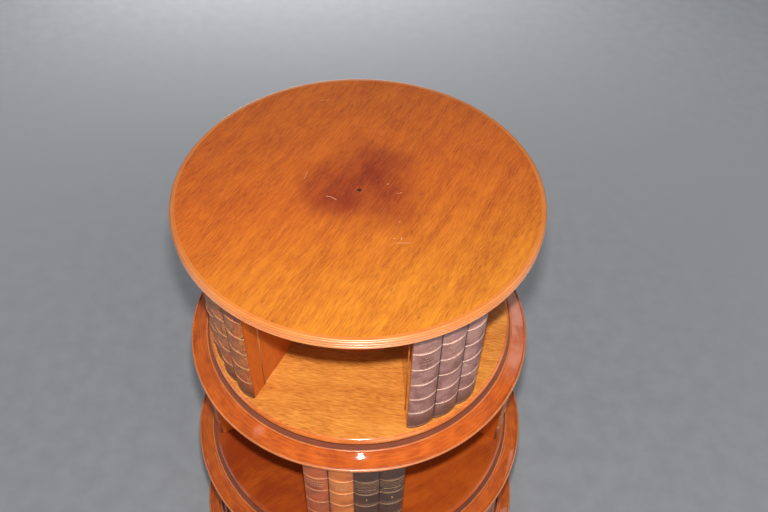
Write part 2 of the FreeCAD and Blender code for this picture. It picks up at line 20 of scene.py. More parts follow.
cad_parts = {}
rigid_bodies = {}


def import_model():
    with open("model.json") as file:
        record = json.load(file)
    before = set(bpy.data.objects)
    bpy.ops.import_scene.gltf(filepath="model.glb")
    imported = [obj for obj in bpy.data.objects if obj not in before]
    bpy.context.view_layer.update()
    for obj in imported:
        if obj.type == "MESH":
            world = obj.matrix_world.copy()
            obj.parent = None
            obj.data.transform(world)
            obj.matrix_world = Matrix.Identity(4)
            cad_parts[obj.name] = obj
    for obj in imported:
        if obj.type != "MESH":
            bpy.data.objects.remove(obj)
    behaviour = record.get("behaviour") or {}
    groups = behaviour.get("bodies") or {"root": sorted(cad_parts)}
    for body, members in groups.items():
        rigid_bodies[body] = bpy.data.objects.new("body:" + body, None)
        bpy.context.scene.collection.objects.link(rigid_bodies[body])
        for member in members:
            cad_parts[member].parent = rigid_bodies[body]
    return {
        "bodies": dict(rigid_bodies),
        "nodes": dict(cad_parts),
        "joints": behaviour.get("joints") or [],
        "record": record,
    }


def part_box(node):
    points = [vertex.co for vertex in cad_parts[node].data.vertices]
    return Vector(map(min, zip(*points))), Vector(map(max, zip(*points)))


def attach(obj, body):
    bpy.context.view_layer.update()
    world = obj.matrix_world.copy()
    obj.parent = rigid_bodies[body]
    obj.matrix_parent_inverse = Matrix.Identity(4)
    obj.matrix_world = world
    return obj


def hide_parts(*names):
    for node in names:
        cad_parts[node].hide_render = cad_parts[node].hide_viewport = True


LOG = logging.getLogger("bookcase")
Rgb = tuple[float, float, float]
Point = tuple[float, float]
MM = 0.001


class Number:
    """A number that varies over a surface, as a node's output socket with arithmetic."""

    def __init__(self, paint: Paint, socket: bpy.types.NodeSocket) -> None:
        """Keep the socket and the tree that it belongs to."""
        self.paint = paint
        self.socket = socket

    def __add__(self, other: Number | float) -> Number:
        """Sum."""
        return self.paint.math("ADD", self, other)

    __radd__ = __add__

    def __sub__(self, other: Number | float) -> Number:
        """Difference."""
        return self.paint.math("SUBTRACT", self, other)

    def __rsub__(self, other: Number | float) -> Number:
        """Difference with this number taken away."""
        return self.paint.math("SUBTRACT", other, self)

    def __mul__(self, other: Number | float) -> Number:
        """Product."""
        return self.paint.math("MULTIPLY", self, other)

    __rmul__ = __mul__

    def __truediv__(self, other: Number | float) -> Number:
        """Quotient."""
        return self.paint.math("DIVIDE", self, other)

    def size(self) -> Number:
        """Absolute value."""
        return self.paint.math("ABSOLUTE", self)

    def rises(self, low: float, high: float) -> Number:
        """Smooth step: 0 up to low, 1 from high on."""
        return self.paint.number("ShaderNodeMapRange", {"interpolation_type": "SMOOTHSTEP"}, {
            "Value": self, "From Min": low, "From Max": high, "To Min": 0.0, "To Max": 1.0})

    def falls(self, low: float, high: float) -> Number:
        """Smooth step down: 1 up to low, 0 from high on."""
        return 1.0 - self.rises(low, high)


class Paint:
    """A material's node tree, ending in one Principled shader."""

    def __init__(self, name: str) -> None:
        """Start an empty material."""
        self.material = bpy.data.materials.new(name)
        self.material.use_nodes = True
        self.tree = self.material.node_tree
        self.tree.nodes.clear()
        self.shader = self.add("ShaderNodeBsdfPrincipled")
        self.add("ShaderNodeOutputMaterial", {}, {"Surface": self.shader.outputs["BSDF"]})

    def add(self, kind: str, settings: dict | None = None, inputs: dict | None = None) -> bpy.types.Node:
        """Add a node.

        Args:
            kind: the node's type.
            settings: its properties, set first.
            inputs: values, sockets or Numbers for its sockets, by name or number.

        Returns:
            The node.
        """
        node = self.tree.nodes.new(kind)
        for key, setting in (settings or {}).items():
            setattr(node, key, setting)
        for key, entry in (inputs or {}).items():
            self.feed(node.inputs[key], entry)
        return node

    def feed(self, socket: bpy.types.NodeSocket, entry: object) -> None:
        """Link a socket, or set its value."""
        if isinstance(entry, Number):
            entry = entry.socket
        if isinstance(entry, bpy.types.NodeSocket):
            self.tree.links.new(entry, socket)
        elif isinstance(entry, tuple) and socket.type == "RGBA":
            socket.default_value = (*entry, 1.0)
        else:
            socket.default_value = entry

    def number(self, kind: str, settings: dict | None = None, inputs: dict | None = None) -> Number:
        """Add a node and take its first output as a number."""
        return Number(self, self.add(kind, settings, inputs).outputs[0])

    def math(self, operation: str, *values: Number | float) -> Number:
        """Add a Math node."""
        return self.number("ShaderNodeMath", {"operation": operation}, dict(enumerate(values)))

    def position(self) -> tuple[Number, Number, Number]:
        """Give the object's own X, Y and Z."""
        place = self.add("ShaderNodeTexCoord").outputs["Object"]
        split = self.add("ShaderNodeSeparateXYZ", {}, {0: place})
        return tuple(Number(self, output) for output in split.outputs)

    def attribute(self, name: str) -> bpy.types.Node:
        """Add a node that reads one of the mesh's attributes."""
        return self.add("ShaderNodeAttribute", {"attribute_name": name})

    def vector(self, *values: Number | float) -> bpy.types.NodeSocket:
        """Join three numbers into a vector."""
        return self.add("ShaderNodeCombineXYZ", {}, dict(enumerate(values))).outputs[0]

    def noise(self, vector: bpy.types.NodeSocket, scale: float = 1.0, detail: float = 2.0,
              distortion: float = 0.0) -> Number:
        """Add a noise texture, about 0.5 in the mean."""
        return self.number("ShaderNodeTexNoise", {}, {
            "Vector": vector, "Scale": scale, "Detail": detail, "Distortion": distortion})

    def mix(self, low: object, high: object, factor: Number | float) -> bpy.types.NodeSocket:
        """Mix two colours: low at factor 0, high at factor 1."""
        node = self.add("ShaderNodeMix", {"data_type": "RGBA"}, {0: factor, 6: low, 7: high})
        return node.outputs[2]

    def tinted(self, colour: object, tint: Rgb, factor: Number | float) -> bpy.types.NodeSocket:
        """Multiply a colour by a tint, by as much as the factor says."""
        node = self.add("ShaderNodeMix", {"data_type": "RGBA", "blend_type": "MULTIPLY"}, {
            0: factor, 6: colour, 7: tint})
        return node.outputs[2]

    def relief(self, height: Number, depth: float, strength: float = 1.0) -> None:
        """Raise the surface by a height, whose 1 stands for depth in metres, without moving it."""
        bump = self.add("ShaderNodeBump", {}, {
            "Strength": strength, "Distance": depth, "Height": height})
        self.feed(self.shader.inputs["Normal"], bump.outputs[0])

    def finish(self, **inputs: object) -> bpy.types.Material:
        """Feed the shader, with underscores for the spaces in its sockets' names."""
        for name, entry in inputs.items():
            self.feed(self.shader.inputs[name.replace("_", " ")], entry)
        return self.material


class Grain(Enum):
    """Which way the wood's fibres run."""

    FLAT = "one direction in plan"
    UPRIGHT = "up the piece"
    ROUND = "round the spindle"


@dataclass(frozen=True)
class Wood:
    """Polished mahogany: ribbons, streaks and short dark pores along the grain, under a glossy coat.

    A stripe's length and width are the size of one streak along and across the grain, and a weight
    says how much of the way from the dark to the light colour it is worth. The fade is how much the
    tone gains per metre along X and Y, and beyond the lipping's radius the wood is redder.
    """

    name: str
    light: Rgb
    dark: Rgb
    grain: Grain
    direction: float = 0.0
    ribbon: Point = (210 * MM, 15 * MM)
    streak: Point = (18 * MM, 1.5 * MM)
    pore: Point = (10 * MM, 0.8 * MM)
    ribbon_weight: float = 1.1
    streak_weight: float = 2.2
    blotch_weight: float = 0.9
    pore_weight: float = 0.5
    fade: Point = (0.0, 0.0)
    lipping: float = 0.0
    blotch: float = 38 * MM
    sway: float = 14 * MM
    worn: float = 0.5
    grime_and_shade: float = 0.5
    gloss: float = 1.0
    roughness: float = 0.8
    glint: float = 0.24
    sheen: float = 0.035
    pale: Rgb = (0.80, 0.42, 0.22)
    wax_and_shade: Rgb = (0.060, 0.012, 0.004)
    typical_radius = 0.25

    def build(self) -> bpy.types.Material:
        """Make the material."""
        paint = Paint(self.name)
        place = paint.position()
        ribbon = self.fibres(paint, place, self.ribbon, 2.0)
        streak = self.fibres(paint, place, self.streak, 2.0)
        pore = self.fibres(paint, place, self.pore, 0.0).rises(0.60, 0.74)
        blotch = paint.noise(paint.vector(*place), 1 / self.blotch, 3.0, 0.4)
        tone = ((ribbon - 0.5) * self.ribbon_weight + (streak - 0.5) * self.streak_weight
                + (blotch - 0.5) * self.blotch_weight + 0.5
                + place[0] * self.fade[0] + place[1] * self.fade[1])
        colour = paint.mix(self.dark, self.light, tone)
        colour = paint.mix(colour, self.wax_and_shade, pore * (ribbon.falls(0.30, 0.70) * 0.7 + 0.3) * self.pore_weight)
        colour, dull = self.marks(paint, colour, place)
        wear_and_shade = Number(paint, paint.attribute("wear_and_shade").outputs["Fac"])
        rubbed_and_highlight = paint.noise(paint.vector(*place), 210.0, 3.0).rises(0.44, 0.62)
        patch = paint.noise(paint.vector(*place), 13.0, 2.0).rises(0.50, 0.66)
        # Arrises are worn paler, and on the reeds' crests this partly stands for a painted highlight. Hollows,
        # grooves and recesses take the dark waxy colour: polish residue and painted shade.
        colour = paint.mix(colour, self.pale, wear_and_shade.rises(0.2, 0.6) * (rubbed_and_highlight * patch * 0.5 + 0.5) * self.worn)
        colour = paint.mix(colour, self.wax_and_shade, (0.0 - wear_and_shade).rises(0.08, 0.6) * self.grime_and_shade)
        paint.relief(streak * 0.4 - pore * 0.8, 0.04 * MM, 0.3)
        return paint.finish(
            Base_Color=colour,
            Roughness=dull * 0.1 + self.roughness - wear_and_shade.size().rises(0.12, 0.42) * (self.roughness - self.glint),
            Coat_Weight=self.gloss, Coat_Roughness=self.sheen, Coat_IOR=1.5, Specular_IOR_Level=0.15)

    def fibres(self, paint: Paint, place: tuple[Number, Number, Number], stripe: Point,
               detail: float) -> Number:
        """Noise stretched along the grain.

        Along a straight grain the place is turned in plan, so that one axis follows the fibres,
        and each axis is divided by the size of a streak that way. Round the spindle, the place is
        a point on a circle whose size sets the streaks' length, so the pattern closes on itself.

        Args:
            paint: the material.
            place: the object's own X, Y and Z.
            stripe: length and width of a streak.
            detail: of the noise.

        Returns:
            The noise.
        """
        x, y, z = place
        length, width = stripe
        if self.grain is Grain.ROUND:
            radius = paint.math("SQRT", x * x + y * y)
            reach = self.typical_radius / length
            return paint.noise(paint.vector((radius - z) / width, x / radius * reach, y / radius * reach),
                               1.0, detail)
        if self.grain is Grain.UPRIGHT:
            return paint.noise(paint.vector(x / width, y / width, z / length), 1.0, detail)
        turn = math.radians(self.direction)
        bend = (paint.noise(paint.vector(x, y, z), 6.0, 1.0) - 0.5) * self.sway
        along = x * math.cos(turn) + y * math.sin(turn)
        across = y * math.cos(turn) - x * math.sin(turn) + bend
        return paint.noise(paint.vector(along / length, across / width, z / width), 1.0, detail)

    def marks(self, paint: Paint, colour: bpy.types.NodeSocket, place: tuple[Number, Number, Number],
              ) -> tuple[bpy.types.NodeSocket, Number | float]:
        """Add the marks of use.

        Args:
            paint: the material.
            colour: the wood's colour.
            place: the object's own X, Y and Z.

        Returns:
            The colour, and how dull the polish is, 0 to 1.
        """
        haze = paint.noise(paint.vector(*place), 17.0, 3.0).rises(0.5, 0.72)
        if self.lipping:
            radius = paint.math("SQRT", place[0] * place[0] + place[1] * place[1])
            colour = paint.tinted(colour, (0.95, 0.66, 0.60), radius.rises(self.lipping - 1 * MM, self.lipping))
        return paint.mix(colour, self.dark, haze * 0.3), haze * 0.3


@dataclass(frozen=True)
class Scratch:
    """A scratch in the polish, or a joint in the wood: its middle, direction, length and width."""

    middle: Point
    direction: float
    length: float
    width: float

    def mask(self, paint: Paint, x: Number, y: Number) -> Number:
        """Give 1 on the scratch and 0 away from it."""
        turn = math.radians(self.direction)
        along = (x - self.middle[0]) * math.cos(turn) + (y - self.middle[1]) * math.sin(turn)
        across = (y - self.middle[1]) * math.cos(turn) - (x - self.middle[0]) * math.sin(turn)
        return along.size().falls(self.length * 0.35, self.length * 0.5) * across.size().falls(
            self.width * 0.4, self.width)


@dataclass(frozen=True)
class Stain:
    """A soft round stain: its middle, radius and strength."""

    middle: Point
    radius: float
    strength: float

    def mask(self, paint: Paint, x: Number, y: Number) -> Number:
        """Give the strength near the middle, fading to 0 at the radius."""
        right, back = x - self.middle[0], y - self.middle[1]
        return paint.math("SQRT", right * right + back * back).falls(
            self.radius * 0.25, self.radius) * self.strength


@dataclass(frozen=True)
class JointedWood(Wood):
    """Mahogany glued up from lengths, with dark joints between them, bloom in its polish and one small painted
    reflection.
    """

    joints: tuple[Scratch, ...] = ()
    blooms_and_reflection: tuple[Stain, ...] = ()
    # Colour of the bloom, and of the small painted reflection.
    bloom: Rgb = (0.60, 0.25, 0.17)

    def marks(self, paint: Paint, colour: bpy.types.NodeSocket, place: tuple[Number, Number, Number],
              ) -> tuple[bpy.types.NodeSocket, Number | float]:
        """Add the joints, the bloom and the small painted reflection to the marks of use."""
        colour, dull = Wood.marks(self, paint, colour, place)
        for joint in self.joints:
            colour = paint.mix(colour, self.wax_and_shade, joint.mask(paint, place[0], place[1]) * 0.5)
        cloud = paint.noise(paint.vector(*place), 26.0, 3.0).rises(0.38, 0.62) * 0.7 + 0.3
        for patch in self.blooms_and_reflection:
            colour = paint.mix(colour, self.bloom, patch.mask(paint, place[0], place[1]) * cloud)
        return colour, dull


@dataclass(frozen=True)
class TopVeneer(Wood):
    """The table top's veneer, with a dark stain in the middle, scratches, and painted shade towards the back and
    the left.
    """

    stain: Rgb = (0.50, 0.26, 0.45)
    # Tint of the painted shade towards the back and the left.
    back_shade_tint: Rgb = (0.97, 0.64, 0.60)
    stains: tuple[Stain, ...] = (
        Stain((0.000, 0.004), 108 * MM, 0.62), Stain((0.036, 0.048), 64 * MM, 0.34),
        Stain((-0.002, 0.086), 30 * MM, 0.30), Stain((-0.042, -0.036), 54 * MM, 0.30),
        Stain((-0.012, 0.004), 40 * MM, 0.16), Stain((-0.054, 0.040), 48 * MM, 0.20),
        Stain((0.046, -0.020), 44 * MM, 0.14))
    scratches: tuple[Scratch, ...] = (
        Scratch((0.0555, -0.0988), 0.0, 24 * MM, 0.5 * MM),
        Scratch((0.054, -0.091), 80.0, 4 * MM, 1.0 * MM),
        Scratch((0.045, -0.091), 20.0, 4 * MM, 0.8 * MM),
        Scratch((-0.0415, -0.0130), -12.0, 7 * MM, 0.65 * MM),
        Scratch((-0.0345, -0.0165), -38.0, 12 * MM, 0.65 * MM),
        Scratch((0.0392, 0.0112), 20.0, 4 * MM, 1.1 * MM),
        Scratch((0.054, -0.0068), 14.0, 9 * MM, 0.55 * MM),
        Scratch((-0.0735, 0.029), 72.0, 18 * MM, 0.4 * MM),
        Scratch((0.0523, -0.061), 20.0, 3 * MM, 0.9 * MM),
        Scratch((-0.0515, 0.197), 12.0, 15 * MM, 0.5 * MM),
    )

    def marks(self, paint: Paint, colour: bpy.types.NodeSocket, place: tuple[Number, Number, Number],
              ) -> tuple[bpy.types.NodeSocket, Number | float]:
        """Add the painted shade towards the back and the left, the stain, whose edge wanders, and the scratches.
        """
        x, y, z = place
        drift = (paint.noise(paint.vector(x, y, z), 11.0, 1.0) - 0.5) * 0.085
        other = (paint.noise(paint.vector(y, z, x), 11.0, 1.0) - 0.5) * 0.085
        cloud = paint.noise(paint.vector(x, y, z), 45.0, 3.0) * 0.5 + 0.75
        stain = self.stains[0].mask(paint, x + drift, y + other)
        for spot in self.stains[1:]:
            stain = stain + spot.mask(paint, x + drift, y + other)
        # Painted shade: the veneer is darkened and reddened towards the back and the left.
        colour = paint.tinted(colour, self.back_shade_tint, (y - x * 0.25).rises(-0.25, 0.03))
        colour = paint.tinted(colour, self.stain, paint.math("MINIMUM", stain * cloud, 1.0))
        cuts = self.scratches[0].mask(paint, x, y)
        for scratch in self.scratches[1:]:
            cuts = cuts + scratch.mask(paint, x, y)
        return paint.mix(colour, self.pale, cuts * 0.6), cuts + stain * 0.2


@dataclass(frozen=True)
class LeatherFinish:
    """Old bookbinding leather: fine creases, worn paler where hands and shelves touch it, with painted highlights
    on the bands' crests and painted shade between the spines and under the bands.
    """

    name: str
    base: Rgb
    dark: Rgb
    rubbed_and_highlight: Rgb
    cloud: float = 35.0
    gloss: float = 0.2
    roughness: float = 0.34
    scuffed: float = 0.6
    dirt_and_shade: Rgb = (0.020, 0.008, 0.006)

    def build(self) -> bpy.types.Material:
        """Make the material, which reads where a point lies on its spine in metres."""
        paint = Paint(self.name)
        place = paint.attribute("leather").outputs["Vector"]
        wear_and_shade = Number(paint, paint.attribute("wear_and_shade").outputs["Fac"])
        tint = Number(paint, paint.attribute("tint").outputs["Fac"])
        cloud = paint.noise(place, self.cloud, 4.0, 0.6)
        fleck = paint.noise(place, 420.0, 3.0)
        crease = paint.number("ShaderNodeTexVoronoi", {"feature": "DISTANCE_TO_EDGE"}, {
            "Vector": place, "Scale": 1150.0, "Randomness": 1.0})
        colour = self.ground(paint, place, cloud)
        colour = paint.mix(colour, self.dark, tint * 0.35)
        scuff = paint.noise(place, 90.0, 4.0, 1.0).rises(0.48, 0.66)
        colour = paint.mix(colour, self.rubbed_and_highlight, fleck.rises(0.50, 0.72) * scuff * self.scuffed)
        # Paler along the bands' crests and the spine's ends: worn leather, and on the crests partly a painted
        # highlight.
        colour = paint.mix(colour, self.rubbed_and_highlight, wear_and_shade.rises(0.25, 1.0) * fleck.rises(0.22, 0.50) * 0.9)
        # Darker in the joints between spines and at the foot of each band, which is painted shade, and darker
        # towards the bottom.
        colour = paint.mix(colour, self.dirt_and_shade, (0.0 - wear_and_shade).rises(0.05, 0.8) * 0.85)
        paint.relief(crease.rises(0.0, 0.12) * 0.5 + fleck * 0.8, 0.12 * MM, 0.7)
        return paint.finish(Base_Color=colour, Roughness=fleck * 0.25 + self.roughness, Coat_Weight=self.gloss,
                            Coat_Roughness=0.30, Specular_IOR_Level=0.5)

    def ground(self, paint: Paint, place: bpy.types.NodeSocket, cloud: Number) -> bpy.types.NodeSocket:
        """Colour the leather before it is rubbed."""
        return paint.mix(self.dark, self.base, cloud.rises(0.32, 0.6))


@dataclass(frozen=True)
class MarbledLeather(LeatherFinish):
    """Calf marbled with acid: drifting brown, gold and red veins."""

    vein: Rgb = (0.72, 0.33, 0.07)
    blush: Rgb = (0.52, 0.080, 0.020)

    def ground(self, paint: Paint, place: bpy.types.NodeSocket, cloud: Number) -> bpy.types.NodeSocket:
        """Colour the leather before it is rubbed: veins where two wandering noises cross."""
        swirl = paint.noise(place, 70.0, 3.0, 2.6)
        drift = paint.noise(place, 38.0, 2.0, 1.4)
        colour = paint.mix(self.dark, self.base, swirl.rises(0.30, 0.58))
        colour = paint.mix(colour, self.blush, drift.rises(0.50, 0.66) * 0.7)
        return paint.mix(colour, self.vein, (swirl - drift).size().falls(0.0, 0.055) * 0.8)


@dataclass(frozen=True)
class Metal:
    """Turned metal: fine rings of the tool under a satin polish."""

    name: str
    colour: Rgb
    tarnish: Rgb
    roughness: float

    def build(self) -> bpy.types.Material:
        """Make the material."""
        paint = Paint(self.name)
        x, y, z = paint.position()
        radius = paint.math("SQRT", x * x + y * y)
        rings = paint.noise(paint.vector(radius * 4.0, z * 4.0, 0.0), 600.0, 2.0)
        bloom = paint.noise(paint.vector(x, y, z), 55.0, 4.0).rises(0.45, 0.75)
        colour = paint.mix(self.colour, self.tarnish, bloom * 0.6)
        paint.relief(rings, 0.02 * MM, 0.5)
        return paint.finish(Base_Color=colour, Metallic=1.0,
                            Roughness=bloom * 0.2 + rings * 0.1 + self.roughness)


@dataclass(frozen=True)
class GoldLeaf:
    """Gold leaf pressed into leather, worn away in places."""

    name: str
    gold: Rgb = (0.80, 0.50, 0.24)
    bare: Rgb = (0.30, 0.15, 0.09)

    def build(self) -> bpy.types.Material:
        """Make the material."""
        paint = Paint(self.name)
        x, y, z = paint.position()
        left = paint.noise(paint.vector(x, y, z), 520.0, 3.0).falls(0.48, 0.66)
        return paint.finish(Base_Color=paint.mix(self.bare, self.gold, left), Metallic=left * 0.55,
                            Roughness=0.62 - left * 0.24, Specular_IOR_Level=0.5)


def eased(corners: np.ndarray, ease: float, closed: bool = True) -> np.ndarray:
    """Round a profile's sharp corners.

    Each corner that turns by more than about 25 degrees becomes a parabola between two points,
    one on each side of it, with a further point just beyond each to hold the flats flat.

    Args:
        corners: outline, one row to a point.
        ease: distance from a right-angled corner to the start of its curve.
        closed: whether the last point joins the first.

    Returns:
        The rounded outline.
    """
    before, after = np.roll(corners, 1, axis=0), np.roll(corners, -1, axis=0)
    outline = []
    for index, (past, here, ahead) in enumerate(zip(before, corners, after)):
        back, front = np.hypot(*(past - here)), np.hypot(*(ahead - here))
        lone = not closed and index in (0, len(corners) - 1)
        if lone or min(back, front) < 1e-9:
            outline.append(here[None])
            continue
        u, v = (past - here) / back, (ahead - here) / front
        turn = math.pi - math.acos(float(np.clip(u @ v, -1, 1)))
        if turn < 0.45:
            outline.append(here[None])
            continue
        cut = min(ease * math.tan(min(turn, 2.4) / 2), back * 0.4, front * 0.4)
        t = np.linspace(0, 1, 6)[:, None]
        curve = here + u * cut * (1 - t) ** 2 + v * cut * t ** 2
        outline.append(np.vstack([here + u * cut * 1.2, curve, here + v * cut * 1.2]))
    return np.vstack(outline)


def arc(start: Point, end: Point, radius: float, steps: int = 10) -> np.ndarray:
    """Give the points of an arc that bulges to the right of the way, or left if radius is negative.

    The centre lies on the chord's perpendicular bisector at sqrt(radius^2 - half chord^2).
    """
    first, last = np.array(start), np.array(end)
    chord = last - first
    half = np.hypot(*chord) / 2
    side = math.copysign(1.0, radius)
    rise = math.sqrt(max(radius ** 2 - half ** 2, 0.0)) * side
    centre = (first + last) / 2 + np.array([-chord[1], chord[0]]) / (2 * half) * rise
    begin, finish = (math.atan2(*(p - centre)[::-1]) for p in (first, last))
    swing = side * ((side * (finish - begin)) % (2 * math.pi))
    angle = begin + swing * np.linspace(0, 1, steps)
    return centre + abs(radius if half < abs(radius) else half) * np.stack([np.cos(angle), np.sin(angle)], 1)


def bending(profile: np.ndarray, closed: bool, reach: float = 0.8 * MM) -> np.ndarray:
    """Say how sharply a profile bends near each point, 1 on a square arris and -1 in a square corner.

    The turns of the points round about are added up, each with a weight that falls with its
    distance s along the profile as exp(-s^2 / (2 reach^2)), and the sum is divided by a right angle.
    """
    into = profile - np.roll(profile, 1, axis=0)
    out = np.roll(profile, -1, axis=0) - profile
    turn = np.arctan2(into[:, 0] * out[:, 1] - into[:, 1] * out[:, 0], (into * out).sum(1))
    step = np.hypot(*out.T)
    place = np.concatenate([[0.0], np.cumsum(step)[:-1]])
    gap = np.abs(place[:, None] - place[None, :])
    if closed:
        gap = np.minimum(gap, step.sum() - gap)
    else:
        turn[[0, -1]] = 0
    return np.clip((np.exp(-gap ** 2 / (2 * reach ** 2)) * turn).sum(1) / (math.pi / 2), -1, 1)


def guarded(profile: np.ndarray, closed: bool, guard: float = 2.5 * MM) -> tuple[np.ndarray, np.ndarray]:
    """Add a point near both ends of each long stretch, so that the worn paleness and the painted shade stay close
    to the edges.

    Returns:
        The profile, and for each of its points the stretch of the old one that it lies on.
    """
    points, stretches = [], []
    for index, (here, ahead) in enumerate(zip(profile, np.roll(profile, -1, axis=0))):
        length = float(np.hypot(*(ahead - here)))
        long = length > 3 * guard and (closed or index < len(profile) - 1)
        shares = (0.0, guard / length, 1 - guard / length) if long else (0.0,)
        points += [here + (ahead - here) * share for share in shares]
        stretches += [index] * len(shares)
    return np.array(points), np.array(stretches)


def quads(rows: int, columns: int, close_rows: bool, close_columns: bool) -> np.ndarray:
    """Give the faces of a grid of points, whose number is row * columns + column."""
    row = np.arange(rows if close_rows else rows - 1)[:, None]
    column = np.arange(columns if close_columns else columns - 1)[None, :]
    next_row, next_column = (row + 1) % rows, (column + 1) % columns
    corners = [row * columns + column, row * columns + next_column,
               next_row * columns + next_column, next_row * columns + column]
    return np.stack(corners, -1).reshape(-1, 4)


def mesh_piece(name: str, points: np.ndarray, faces: np.ndarray, finishes: Sequence[bpy.types.Material],
               slots: np.ndarray | None = None, attributes: dict[str, np.ndarray] | None = None,
               ) -> bpy.types.Object:
    """Make an object from arrays, with its seams and poles closed and its faces outwards.

    Args:
        name: of the piece.
        points: one row to a point.
        faces: four point numbers to a face.
        finishes: its materials.
        slots: the material number of each face.
        attributes: numbers or vectors for each point, by name.

    Returns:
        The object, at the origin.
    """
    mesh = bpy.data.meshes.new(name)
    mesh.vertices.add(len(points))
    mesh.vertices.foreach_set("co", points.astype(np.float32).ravel())
    mesh.loops.add(faces.size)
    mesh.loops.foreach_set("vertex_index", faces.astype(np.int32).ravel())
    mesh.polygons.add(len(faces))
    mesh.polygons.foreach_set("loop_start", np.arange(0, faces.size, 4, dtype=np.int32))
    if slots is not None:
        mesh.polygons.foreach_set("material_index", slots.astype(np.int32))
    for label, entry in (attributes or {}).items():
        kind, field = ("FLOAT", "value") if entry.ndim == 1 else ("FLOAT_VECTOR", "vector")
        mesh.attributes.new(label, kind, "POINT").data.foreach_set(field, entry.astype(np.float32).ravel())
    mesh.update(calc_edges=True)
    for finish in finishes:
        mesh.materials.append(finish)
    piece = bpy.data.objects.new(name, mesh)
    bpy.context.scene.collection.objects.link(piece)
    close_up(mesh)
    return piece


def close_up(mesh: bpy.types.Mesh) -> None:
    """Merge doubled points, turn the faces outwards and shade them smooth."""
    work = bmesh.new()
    work.from_mesh(mesh)
    bmesh.ops.remove_doubles(work, verts=work.verts, dist=0.002 * MM)
    bmesh.ops.recalc_face_normals(work, faces=work.faces)
    work.to_mesh(mesh)
    work.free()
    mesh.polygons.foreach_set("use_smooth", np.ones(len(mesh.polygons), bool))


class Bench:
    """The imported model, and what every sub-assembly needs of it."""

    def __init__(self) -> None:
        """Load the frame."""
        self.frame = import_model()
        bodies = self.frame["record"]["behaviour"]["bodies"]
        self.body_of = {node: body for body, nodes in bodies.items() for node in nodes}
        self.finishes: dict[str, bpy.types.Material] = {}

    def reach(self, node: str) -> float:
        """Give a node's largest distance from the spindle's axis."""
        mesh = self.frame["nodes"][node].data
        points = np.empty(len(mesh.vertices) * 3, np.float32)
        mesh.vertices.foreach_get("co", points)
        return float(np.hypot(*points.reshape(-1, 3)[:, :2].T).max())

    def levels(self, node: str) -> tuple[float, float]:
        """Give a node's lowest and highest point."""
        low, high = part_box(node)
        return low.z, high.z

    def finish(self, maker: Wood | LeatherFinish | Metal | GoldLeaf) -> bpy.types.Material:
        """Make a material once, and give the same one again when asked."""
        if maker.name not in self.finishes:
            self.finishes[maker.name] = maker.build()
        return self.finishes[maker.name]

    def fit(self, piece: bpy.types.Object, slot: str, *nodes: str, body: str = "") -> None:
        """Put a piece on its body, in place of the CAD nodes that it stands for."""
        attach(piece, body or self.body_of[nodes[0]])
        if nodes:
            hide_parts(*nodes)
        LOG.info("%s: %d faces", piece.name, len(piece.data.polygons))


TOP_VENEER = TopVeneer("top_veneer", (0.540, 0.186, 0.0100), (0.375, 0.100, 0.0050), Grain.FLAT, 60.0)
# Reeded edge: the paler reed crests are worn and partly a painted highlight; the dark grooves between the reeds
# are painted shade.
EDGE_WOOD = Wood("reeded_edge", (0.54, 0.170, 0.028), (0.40, 0.105, 0.012), Grain.ROUND, worn=0.2, grime_and_shade=0.95,
                 pore_weight=0.15, streak_weight=0.8, roughness=0.5, sheen=0.34, pale=(0.74, 0.46, 0.33),
                 wax_and_shade=(0.13, 0.035, 0.010))
# Mouldings: the greyish dark colour in their hollows and in the recess inside the lip is painted shade with a
# painted reflection.
MOULDING = Wood("moulding_mahogany", (0.55, 0.110, 0.0050), (0.33, 0.050, 0.0025), Grain.ROUND,
                ribbon=(110 * MM, 9 * MM), ribbon_weight=0.9, streak_weight=2.2, blotch_weight=1.8,
                pore_weight=0.3, blotch=26 * MM, worn=0.6, grime_and_shade=0.8, pale=(0.66, 0.30, 0.12),
                wax_and_shade=(0.150, 0.062, 0.048))
ROLLED = replace(MOULDING, name="moulding_edge", sheen=0.3)
JOINTED = JointedWood(**{**asdict(MOULDING), "name": "jointed_mahogany", "grain": Grain.ROUND}, joints=(
    Scratch((-0.0600, -0.2434), -36.0, 15 * MM, 0.55 * MM),
    Scratch((0.1755, -0.1980), -36.0, 11 * MM, 0.45 * MM)), blooms_and_reflection=(
    Stain((0.258, 0.050), 74 * MM, 1.0), Stain((0.258, -0.010), 66 * MM, 0.85),
    # The small patch at (-0.146, -0.2075) is a painted reflection; the other patches are bloom in the polish.
    Stain((0.246, -0.075), 64 * MM, 0.6), Stain((-0.146, -0.2075), 12 * MM, 0.35)))
SHELF = Wood("shelf_mahogany", (0.70, 0.285, 0.050), (0.50, 0.155, 0.022), Grain.FLAT, -10.0,
             streak=(17 * MM, 2.2 * MM), streak_weight=2.4, sway=30 * MM, worn=0.3, sheen=0.16, lipping=233.5 * MM)
OLD_SHELF = Wood("old_shelf_mahogany", (0.42, 0.078, 0.0050), (0.26, 0.034, 0.0025), Grain.FLAT, 35.0,
                 streak_weight=1.2, blotch_weight=1.9, pore_weight=0.3, blotch=45 * MM, sway=30 * MM, worn=0.3,
                 fade=(1.6, 0.0))
CARCASE = Wood("carcase_mahogany", (0.51, 0.092, 0.0060), (0.37, 0.055, 0.0035), Grain.UPRIGHT,
               ribbon=(190 * MM, 12 * MM), ribbon_weight=0.7, streak_weight=0.9, blotch_weight=1.1,
               pore_weight=0.2)
PLINTH = Wood("plinth_mahogany", (0.46, 0.090, 0.0120), (0.32, 0.050, 0.0070), Grain.ROUND,
              ribbon=(150 * MM, 20 * MM), ribbon_weight=0.4, streak_weight=0.5, blotch_weight=1.6,
              pore_weight=0.25)
